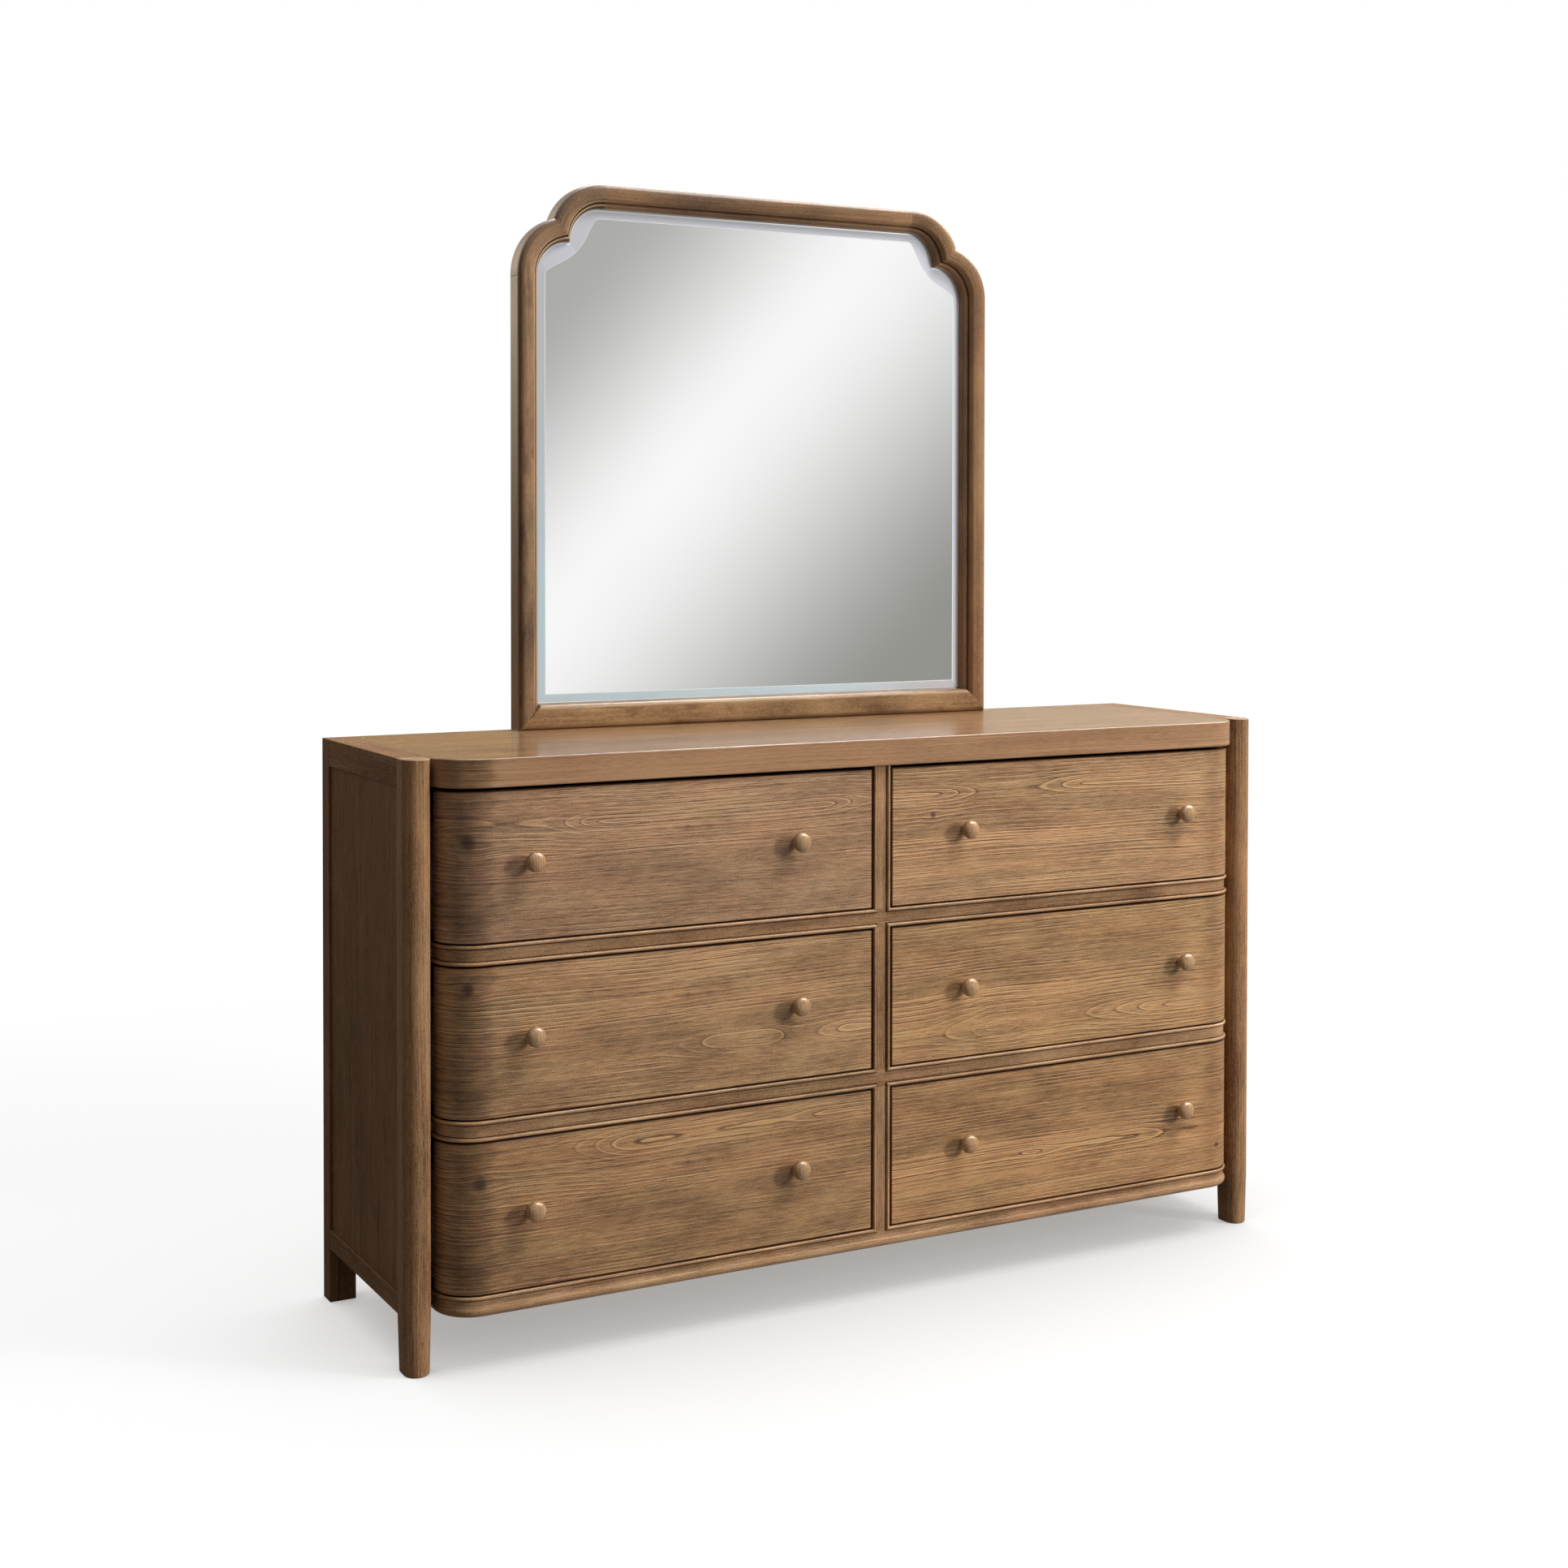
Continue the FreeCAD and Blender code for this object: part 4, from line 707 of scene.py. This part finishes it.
for row, z0 in DRAWER_Z.items():
    for sign, side in ((-1, "left"), (1, "right")):
        where = row + "_" + side
        drawer = where + "_drawer"
        pith, rings, blotch, tint, flames, knots = front_looks[where]
        finish = pine("front_pine_" + where, "c8a278", "9d7c5c", "644a36", pith, flames, 0.006, rings,
                      blotch=blotch, knots=knots, tint=tint, glaze_and_shade=gap_and_bend_shade)
        bends = sign * (CORNER_X + FACE_R * np.radians(np.arange(0, 90, 4.5)))
        lines = np.sort(np.concatenate([bends, sign * np.linspace(80, 690, 12)]))
        s0, s1 = sorted((sign * DRAWER_INNER_X, sign * FRONT_LENGTH))
        middle_z = z0 + DRAWER_H / 2
        shell = Shell()
        add_board(shell, (s0, DRAWER_SETBACK, z0), (s1, DRAWER_BACK, z0 + DRAWER_H), "x",
                  np.array([0.0, -middle_z, 0.0]), 1.4, lines, round_corner)
        shell.piece(where + "_front", finish, "drawer_front_wood", drawer + "_front", body=drawer)
        shell = Shell()
        for number, shift in enumerate((-1, 1)):
            turned_knob(shell, sign * KNOB_X + shift * KNOB_SPREAD, middle_z + KNOB_RISE,
                        z0 * 7 + 300 * number + 2000 * sign)
        shell.piece(where + "_knobs", knob_finish, "knob_wood", drawer + "_knobs", body=drawer, crease=50)
        dress(box_sides, drawer + "_box")
        dress(box_floor, drawer + "_bottom")
        dress(slide_finish, drawer + "_runners")


# -------------------------------- mirror
# A moulded frame with two lobes at each upper corner holds a bevelled mirror.  Two boards
# screwed to its back and to the case's back rail hold it upright.
MIRROR_HALF, MIRROR_TOP, MIRROR_FOOT = 486.0, 1905.0, 944.0
SIGHT, REBATE_W, LIP_T, REBATE_T = 43.0, 6.0, 17.0, 10.0
FLAT_SIDE, OUTER_R, INNER_R, CROWN, ROLL_W, ROLL_END = 29.5, 11.0, 10.0, 0.9, 33.0, 8.0
GROOVE_T, LIP_R = 23.0, 2.4
LOBE_R, LOBE_START, JOINT = 103.0, 165.0, 6.0
JOINT_DROP = LOBE_START + JOINT


def smudged(f, x, y, z, small):
    """More glaze at the outer edge of the roll and in soft cloudy spots."""
    spots = f.step(f.noise(f.vector(x, y, z), (14.0, 60.0, 60.0), 3.0, 0.6), 0.5, 0.7)
    rim = (1 - f.step(y + small * 0.008, 0.004, 0.016)) * f.step(z, 0.030, 0.036) * 0.6
    return spots * 0.6 + rim


def antiqued_hollow_shade(f, x, y, z, small):
    """The same, and darker in the groove and the hollow by the mirror, as glaze and painted shade."""
    hollow = f.step(y + small * 0.004, 0.0265, 0.0335) * 0.8
    return hollow.maths("MAXIMUM", hollow, smudged(f, x, y, z, small))


def bead_highlight(f, y, small):
    """Painted highlight on the thin bead."""
    return f.step(y + small * 0.001, 0.0355, 0.0365) * (1 - f.step(y, 0.0382, 0.0392)) * 0.8


def inside_highlights(f, x, y, z, small):
    """Painted highlights on the thin bead, on the flat side and along the roll's inner round."""
    roll = f.step(y + small * 0.004, 0.0285, 0.0310) * (1 - f.step(y, 0.0322, 0.0330)) * f.step(z, 0.025, 0.030) * 0.6
    return bead_highlight(f, y, small) + roll + (1 - f.step(y, 0.0004, 0.002)) * 0.35


def outside_highlights(f, x, y, z, small):
    """Painted highlights on the thin bead and over the outer half of the roll."""
    return bead_highlight(f, y, small) + (1 - f.step(y + small * 0.02, 0.006, 0.020)) * 0.6


def frame_pine(name, tint, worn, glaze_and_shade=antiqued_hollow_shade, shine=0.5, overlay_colour="c4a27a"):
    """Pine of the frame: the same stain all round, with painted highlights and shade, lightened or darkened per piece
    by a tint as painted light and shade.
    """
    return pine(name, "b8966f", "8e6e50", "59422f", ring=0.006, rings=0.2, relief=0.00012, brushed=0.4, blotch=1.9,
                roughness=0.30, shine=shine, tint=tint, glaze_and_shade=glaze_and_shade, worn=worn, overlay_colour=overlay_colour)


# The tints paint shade on the left stile and corner and a little on the bottom rail, and paint light on the right
# stile, its corner and the top rail.
frame_left_shaded = frame_pine("frame_pine_left_shaded", (0.78, 0.78, 0.78), inside_highlights)
frame_bottom_shaded = frame_pine("frame_pine_bottom_shaded", (0.88, 0.90, 0.87), inside_highlights, smudged, 0.2)
frame_upper_lit = frame_pine("frame_pine_upper_lit", (1.60, 1.62, 1.56), outside_highlights, overlay_colour="d4b28b")


def arc(middle_x, middle_y, radius, start, end, steps, stretch=1.0):
    """Points of an arc in a section, between two angles in degrees."""
    turn = np.radians(np.linspace(start, end, steps))
    return np.stack([middle_x + radius * np.cos(turn), middle_y + stretch * radius * np.sin(turn)], axis=1)


def frame_section():
    """Section of the frame: distance in from its outer side and height above its back, counted
    round from the back's inner edge.  A nearly flat roll between two rounds, a groove, a thin
    bead and a hollow down to the mirror."""
    outer = arc(OUTER_R, FLAT_SIDE, OUTER_R, 180, 96, 9)
    inner = arc(ROLL_W - INNER_R, FLAT_SIDE - 0.5, INNER_R, 84, ROLL_END, 9)
    face = np.linspace(0, 1, 6)[1:-1]
    crown = outer[-1] + (inner[0] - outer[-1]) * face[:, None]
    crown[:, 1] += 4 * CROWN * face * (1 - face)
    groove = np.array([[ROLL_W, FLAT_SIDE - 3.0], [ROLL_W + 0.6, GROOVE_T], [ROLL_W + 1.6, GROOVE_T]])
    bead = arc(ROLL_W + 1.6 + LIP_R, GROOVE_T, LIP_R, 180, 20, 9, stretch=1.5)
    turn = np.radians(np.linspace(0, 90, 5))
    start_x, start_t = bead[-1, 0], bead[-1, 1] - 1.0
    hollow = np.stack([start_x + (SIGHT - start_x) * (1 - np.cos(turn)),
                       start_t - (start_t - LIP_T) * np.sin(turn)], axis=1)
    rebate = SIGHT - REBATE_W
    return np.concatenate([[[0.0, 0.0], [0.0, 2.0]], outer, crown, inner, groove, bead[1:], hollow,
                           [[SIGHT, REBATE_T], [rebate, REBATE_T], [rebate, 0.0]]])


section = frame_section()


def foot_section(upright):
    """Section of the bottom rail: the same line as far as the roll's crown, which then goes on
    to a round just under the mirror and straight down to the rebate."""
    wide = upright.copy()
    roll = wide[:, 0] > OUTER_R
    shelf = roll & (wide[:, 1] > REBATE_T + 0.1)
    crown = np.linspace(OUTER_R + 2, SIGHT - INNER_R, 5)[:-1]
    rise = FLAT_SIDE + OUTER_R + 0.5 * np.sin((crown - OUTER_R) / (SIGHT - OUTER_R) * math.pi)
    turn = arc(SIGHT - INNER_R, FLAT_SIDE + 1.0, INNER_R, 90, 0, shelf.sum() - 4)
    wide[shelf] = np.concatenate([np.stack([crown, rise], axis=1), turn])
    return wide


def frame_points(across_x, across_z, rises):
    """Places from the distance in from the left side, the distance down from the top and the
    height above the frame's back."""
    return grid(across_x - MIRROR_HALF, y_of(DEPTH) - rises, MIRROR_TOP - across_z)


def frame_piece(name, node, finish, points, length, offset, mirror=False):
    """One length of frame from its (stations, section) grid.  Its two end sections are drawn in
    towards their middles, which leaves a fine joint line."""
    points = points * ((-1.0 if mirror else 1.0), 1.0, 1.0)
    for row in (0, -1):
        points[row] += (points[row].mean(axis=0) - points[row]) * 0.012
    grain = grid(length[:, None], section[:, 0], section[:, 1]) + offset
    shell = Shell()
    shell.tube(points.transpose(1, 0, 2), grain.transpose(1, 0, 2))
    shell.piece(name, finish, "mirror_frame_wood", node)


sides = (("left", frame_left_shaded, 0.0, False), ("right", frame_upper_lit, 5000.0, True))
w, t = section[:, 0], section[:, 1]
run = np.array([0.0, 0.0012, 0.25, 0.5, 0.75, 0.9988, 1.0])[:, None]
foot_drop = MIRROR_TOP - MIRROR_FOOT
points = frame_points(w, (foot_drop - w) * (1 - run) + JOINT_DROP * run, t)
stile_length = (run * (foot_drop - JOINT_DROP))[:, 0]
for side, finish, offset, mirror in sides:
    frame_piece("frame_stile_" + side, "mirror_stile_" + side, finish, points, stile_length, offset, mirror)
across = 2 * MIRROR_HALF
foot = foot_section(section)
points = frame_points(foot[:, 0] * (1 - run) + (across - foot[:, 0]) * run, foot_drop - foot[:, 0], foot[:, 1])
frame_piece("frame_bottom_shaded", "mirror_bottom_rail", frame_bottom_shaded, points, (run * across)[:, 0], 9000.0)
points = frame_points(JOINT_DROP * (1 - run) + (across - JOINT_DROP) * run, w, t)
frame_piece("frame_top", "mirror_top_rail", frame_upper_lit, points, (run * (across - 2 * JOINT_DROP))[:, 0], 12000.0)


def lobe_line(inset, shares):
    """Points of one lobe drawn in by an inset, at shares of its angle up to where it meets its
    twin on the diagonal: in from the side and down from the top."""
    radius = LOBE_R - inset
    reach = LOBE_R + LOBE_START
    spread = reach ** 2 - 2 * (LOBE_R ** 2 + LOBE_START ** 2 - radius ** 2)
    notch = (reach - np.sqrt(spread)) / 2
    turn = shares * np.arctan2(LOBE_START - notch, LOBE_R - notch)
    return LOBE_R - radius * np.cos(turn), LOBE_START - radius * np.sin(turn)


lobe_x, lobe_z = lobe_line(w[None, :], np.linspace(0, 1, 25)[:, None])
starts = np.array([JOINT_DROP, JOINT_DROP - 0.7])[:, None]
lower_x = np.concatenate([np.broadcast_to(w, (2, len(w))), lobe_x])
lower_z = np.concatenate([np.broadcast_to(starts, (2, len(w))), lobe_z])
corner_x = np.concatenate([lower_x, lower_z[::-1][1:]])
corner_z = np.concatenate([lower_z, lower_x[::-1][1:]])
points = frame_points(corner_x, corner_z, t)
length = np.concatenate([[0.0], np.cumsum(np.hypot(np.diff(corner_x[:, 0]), np.diff(corner_z[:, 0])))])
for side, finish, offset, mirror in sides:
    frame_piece("frame_corner_" + side, "mirror_corner_" + side, finish, points, length + stile_length[-1], offset,
                mirror)

# The mirror: a plate whose rim is ground to a shallow bevel, its inner line cut into the corners
# in a small turn, a short straight run and a hollow.  Silvered glass, with a painted reflection on
# the bevel.
GLASS_INSET, LIP_INSET, BEVEL_INSET = 37.5, 45.5, 60.5
BEVEL_TURN_R, BEVEL_RUN, BEVEL_SLOPE = 13.0, 33.0, math.radians(28)
TURN_SHARE, RUN_SHARE = 0.3, 0.75


def plate_ring(inset, rise, lobe):
    """A closed outline from one lobe's points, mirrored at the corner and across."""
    lobe_x, lobe_z = lobe
    left_x = np.concatenate([[MIRROR_HALF, inset], lobe_x, lobe_z[::-1][1:]])
    left_z = np.concatenate([[foot_drop - inset, foot_drop - inset], lobe_z, lobe_x[::-1][1:]])
    left = frame_points(left_x, left_z, np.full(len(left_x), rise))
    right = (left * (-1.0, 1.0, 1.0))[::-1][:-1]
    return np.concatenate([left, right])


def drawn_lobe(inset):
    """One lobe of a plain inset outline, with points where the bevel's own line changes."""
    shares = np.concatenate([np.linspace(0, TURN_SHARE, 9), np.linspace(TURN_SHARE, RUN_SHARE, 9)[1:],
                             np.linspace(RUN_SHARE, 1, 9)[1:]])
    return lobe_line(inset, shares)


def bevel_lobe(inset):
    """The bevel's inner line along one lobe: an arc, a straight run and half of a hollow arc that
    leaves the run smoothly and crosses the diagonal squarely."""
    turn = np.linspace(0, math.pi / 2 - BEVEL_SLOPE, 9)
    x = inset + BEVEL_TURN_R * (1 - np.cos(turn))
    z = LOBE_START - BEVEL_TURN_R * np.sin(turn)
    along = np.linspace(0, BEVEL_RUN, 9)[1:]
    run_x = x[-1] + along * math.cos(BEVEL_SLOPE)
    run_z = z[-1] - along * math.sin(BEVEL_SLOPE)
    across = (run_z[-1] - run_x[-1]) / math.sqrt(2)
    radius = across / math.sin(math.pi / 4 - BEVEL_SLOPE)
    centre_x = run_x[-1] - radius * math.sin(BEVEL_SLOPE)
    centre_z = run_z[-1] - radius * math.cos(BEVEL_SLOPE)
    bend = np.linspace(BEVEL_SLOPE, math.pi / 4, 9)[1:]
    return (np.concatenate([x, run_x, centre_x + radius * np.sin(bend)]),
            np.concatenate([z, run_z, centre_z + radius * np.cos(bend)]))


outlines = ((GLASS_INSET, 6.0, drawn_lobe), (GLASS_INSET, 10.0, drawn_lobe), (LIP_INSET, 10.0, drawn_lobe),
            (LIP_INSET + 1.3, 10.3, drawn_lobe), (BEVEL_INSET - 1.2, 12.0, bevel_lobe), (BEVEL_INSET, 12.0, bevel_lobe))
rings = np.stack([plate_ring(inset, rise, lobe(inset)) for inset, rise, lobe in outlines], axis=1)
f = Finish("glass_painted_bevel")
place = f.object_place()
aside, _, height = f.axes(place)
ground_part, rim, _ = f.axes(f.node("ShaderNodeAttribute", {"attribute_name": "grain"}, output="Vector"))
haze = f.noise(place, (3.0, 3.0, 3.0))
silver = f.mix(haze, stain("f4f5f5"), stain("fafbfb"))
# The ground bevel's pale colour is a painted reflection: blue-white low down and on the left, greyer high up and to the
# right, lighter in two narrow strips at its edges; it is hardly metallic.
upper = f.step(height + haze * 0.1 + f.step(aside, 0.05, 0.42) * 0.6, 1.15, 1.75)
pale = f.mix(upper, stain("c5dbe7"), stain("c3c5cb"))
pale = f.mix(rim, pale, stain("e2e9ec"))
shown = f.mix(ground_part, silver, pale)
glass_finish = f.surface(shown, haze * 0.01 + 0.005 + ground_part * 0.25, Metallic=1 - ground_part * 0.9)
shell = Shell()
for start, stop, marks in ((0, 3, (0, 0, 0)), (2, 4, (1000, 1000, 0)), (3, 5, (1000, 0, 0)), (4, 6, (1000, 1000, 0))):
    shell.patch(rings[:, start:stop], np.array(marks, float), closed=True)
for column in (0, -1):
    shell.cap(rings[:, column], np.zeros(3))
shell.piece("mirror_plate", glass_finish, "mirror_glass", "mirror_glass", crease=2)

dress(plain_pine("backing_ply", "xzy", "a98a66", "967652", "7c5e3f", ring=0.012), "mirror_backing")
SUPPORT_IN, SUPPORT_OUT, SUPPORT_T = 235.0, 305.0, 18.0
shell = Shell()
add_pair(shell, SUPPORT_IN, SUPPORT_OUT, (y_of(DEPTH), 644.0), (y_of(DEPTH + SUPPORT_T), 1900.0), "z",
         40000.0, 900, 1.5)
shell.piece("support_boards", side_finish, "inner_wood", "mirror_supports")
dress(steel("screw_zinc", "b9b29c", 0.3), "support_screws")


# -------------------------------- studio
# A pale floor without an end, soft light from the upper right, and a camera at eye level.
def look_at(eye, target):
    """Rotation that turns a lamp at eye towards target."""
    return (Vector(target) - Vector(eye)).to_track_quat("-Z", "Y").to_euler()


ground = bpy.data.meshes.new("ground")
reach = 30.0  # metres to its edges
ground.from_pydata([(-reach, -reach, 0), (reach, -reach, 0), (reach, reach, 0), (-reach, reach, 0)], [], [(0, 1, 2, 3)])
floor = put("ground", ground)
f = Finish("pale_floor")
sight = f.node("ShaderNodeLightPath", output="Is Camera Ray")
# For camera rays the floor glows: white, with a painted contact shadow read from ambient occlusion and a little darker
# within 2 m, fading to white by 5 m; its matt part keeps the real shadows.
open_share = f.node("ShaderNodeAmbientOcclusion", {"samples": 8}, {"Distance": 0.75}, output="AO")
matt = f.node("ShaderNodeBsdfDiffuse", None, {"Color": f.mix(sight, (0.28, 0.265, 0.25, 1), (0.16, 0.16, 0.16, 1))})
shade = f.mix(f.step(open_share, 0.0, 0.97), (0.42, 0.40, 0.385, 1), (1.0, 1.0, 1.0, 1))
away = f.node("ShaderNodeVectorMath", {"operation": "LENGTH"}, {0: f.object_place()}, output="Value")
shade = f.mix(f.step(away, 2.0, 5.0), f.times(shade, (0.9, 0.9, 0.9)), (1.02, 1.02, 1.02, 1))
glow = f.node("ShaderNodeEmission", None, {"Color": f.mix(sight, (0, 0, 0, 1), shade)})
f.node("ShaderNodeOutputMaterial", None, {"Surface": f.node("ShaderNodeAddShader", None, {0: matt, 1: glow})})
ground.materials.append(f.material)
floor.visible_glossy = False

world = bpy.data.worlds.new("studio")
bpy.context.scene.world = world
f = Finish("studio", world)
way_x, way_y, way_z = f.axes(f.node("ShaderNodeTexCoord", output="Generated"))


def near(x, y, z, start, end):
    """1 for ways close to one direction, 0 away from it."""
    return f.step(way_x * x + way_y * y + way_z * z, start, end)


facing = math.radians(29.5)
behind_mirror = (math.sin(facing), -math.cos(facing), 0.047)
slant = way_x * math.cos(facing) + way_y * math.sin(facing) + 0.08 - way_z * 0.88
panel = f.mix(f.step(slant, -0.13, 0.0), (0.445, 0.437, 0.42, 1), (1.0, 0.995, 0.99, 1))
panel = f.mix(f.step(slant, -0.01, 0.18), panel, (0.315, 0.313, 0.29, 1))
wall = f.mix(f.step(way_y, 0.2, 0.7), (0.45, 0.45, 0.46, 1), (3.0, 2.55, 1.95, 1))
room = f.mix(f.step(way_z, 0.0, 0.12), (0.05, 0.045, 0.04, 1), wall)
room = f.mix(f.step(way_x, -0.5, 0.2), room, (0.42, 0.42, 0.42, 1))
dark = (1 - f.step(way_x, 0.40, 0.43)) * f.step(way_x, -0.1, 0.1)
room = f.mix(dark * f.step(way_y, 0.5, 0.7) * (1 - f.step(way_z, 0.2, 0.35)), room, (0.38, 0.26, 0.13, 1))
room = f.mix(f.step(way_y, 0.0, 0.4) * f.step(way_x, 0.40, 0.43), room, (0.52, 0.47, 0.38, 1))
room = f.mix(f.step(way_z, 0.4, 0.75), room, (1.2, 1.2, 1.2, 1))
blue = f.mix(f.step(way_z, -0.25, 0.15), (0.47, 0.62, 0.68, 1), (0.62, 0.65, 0.71, 1))
room = f.mix(near(*behind_mirror, 0.86, 0.93), room, blue)
room = f.mix(near(*behind_mirror, 0.967, 0.982), room, panel)
room = f.mix(near(0.755, -0.352, 0.553, 0.965, 0.99), room, (7.0, 6.9, 6.6, 1))
room = f.mix(near(0.5, 0.2, 0.84, 0.78, 0.92), room, (13.0, 12.8, 12.4, 1))
ambient = f.mix(f.step(way_x, -0.7, 0.9), (0.165, 0.157, 0.147, 1), (0.34, 0.335, 0.33, 1))
behind = f.step(way_y, 0.2, 0.8) * f.step(way_x, -0.25, 0.1) * (1 - f.step(way_z, 0.3, 0.6))
ambient = f.mix(behind, ambient, (0.80, 0.78, 0.75, 1))
camera_ray = f.node("ShaderNodeLightPath", output="Is Camera Ray")
glossy_ray = f.node("ShaderNodeLightPath", output="Is Glossy Ray")
sky = f.mix(camera_ray, f.mix(glossy_ray, ambient, room), (1, 1, 1, 1))
f.node("ShaderNodeOutputWorld", None, {"Surface": f.node("ShaderNodeBackground", None, {"Color": sky})})


def soft_lamp(name, azimuth, elevation, distance, size, power, glossy=True):
    """A soft lamp that faces the case, turned from straight in front towards the right."""
    turn, lift = math.radians(azimuth), math.radians(elevation)
    middle = Vector((0, 0, 0.9))
    level, rise = math.cos(lift), math.sin(lift)
    eye = middle + distance * Vector((math.sin(turn) * level, -math.cos(turn) * level, rise))
    lamp = bpy.data.lights.new(name, "AREA")
    lamp.shape, lamp.energy = "RECTANGLE", power
    lamp.size, lamp.size_y = size
    holder = put(name, lamp)
    holder.location, holder.rotation_euler = eye, look_at(eye, middle)
    holder.visible_glossy = glossy


soft_lamp("key", 46, 14, 6.5, (1.0, 1.5), 285, False)
soft_lamp("high", 45, 52, 4.5, (1.4, 1.4), 130)

eye = np.array([-1917.37, FRONT_Y - 3125.46, 1284.62]) / 1000
yaw, pitch, roll = 0.4904, -0.0206, 0.001
ahead = np.array([math.sin(yaw) * math.cos(pitch), math.cos(yaw) * math.cos(pitch), math.sin(pitch)])
level = np.array([math.cos(yaw), -math.sin(yaw), 0.0])
upward = np.cross(level, ahead)
right = level * math.cos(roll) + upward * math.sin(roll)
above = upward * math.cos(roll) - level * math.sin(roll)
lens = bpy.data.cameras.new("camera")
image, focal = 1932, 2701.53  # pixels
lens.sensor_width, lens.lens = 36.0, focal / image * 36
lens.shift_x, lens.shift_y = 37.52 / image, -251.0 / image
camera = put("camera", lens)
camera.matrix_world = Matrix([[right[i], above[i], -ahead[i], eye[i]] for i in range(3)] + [[0, 0, 0, 1]])
bpy.context.scene.camera = camera
bpy.context.scene.view_settings.view_transform = "Standard"
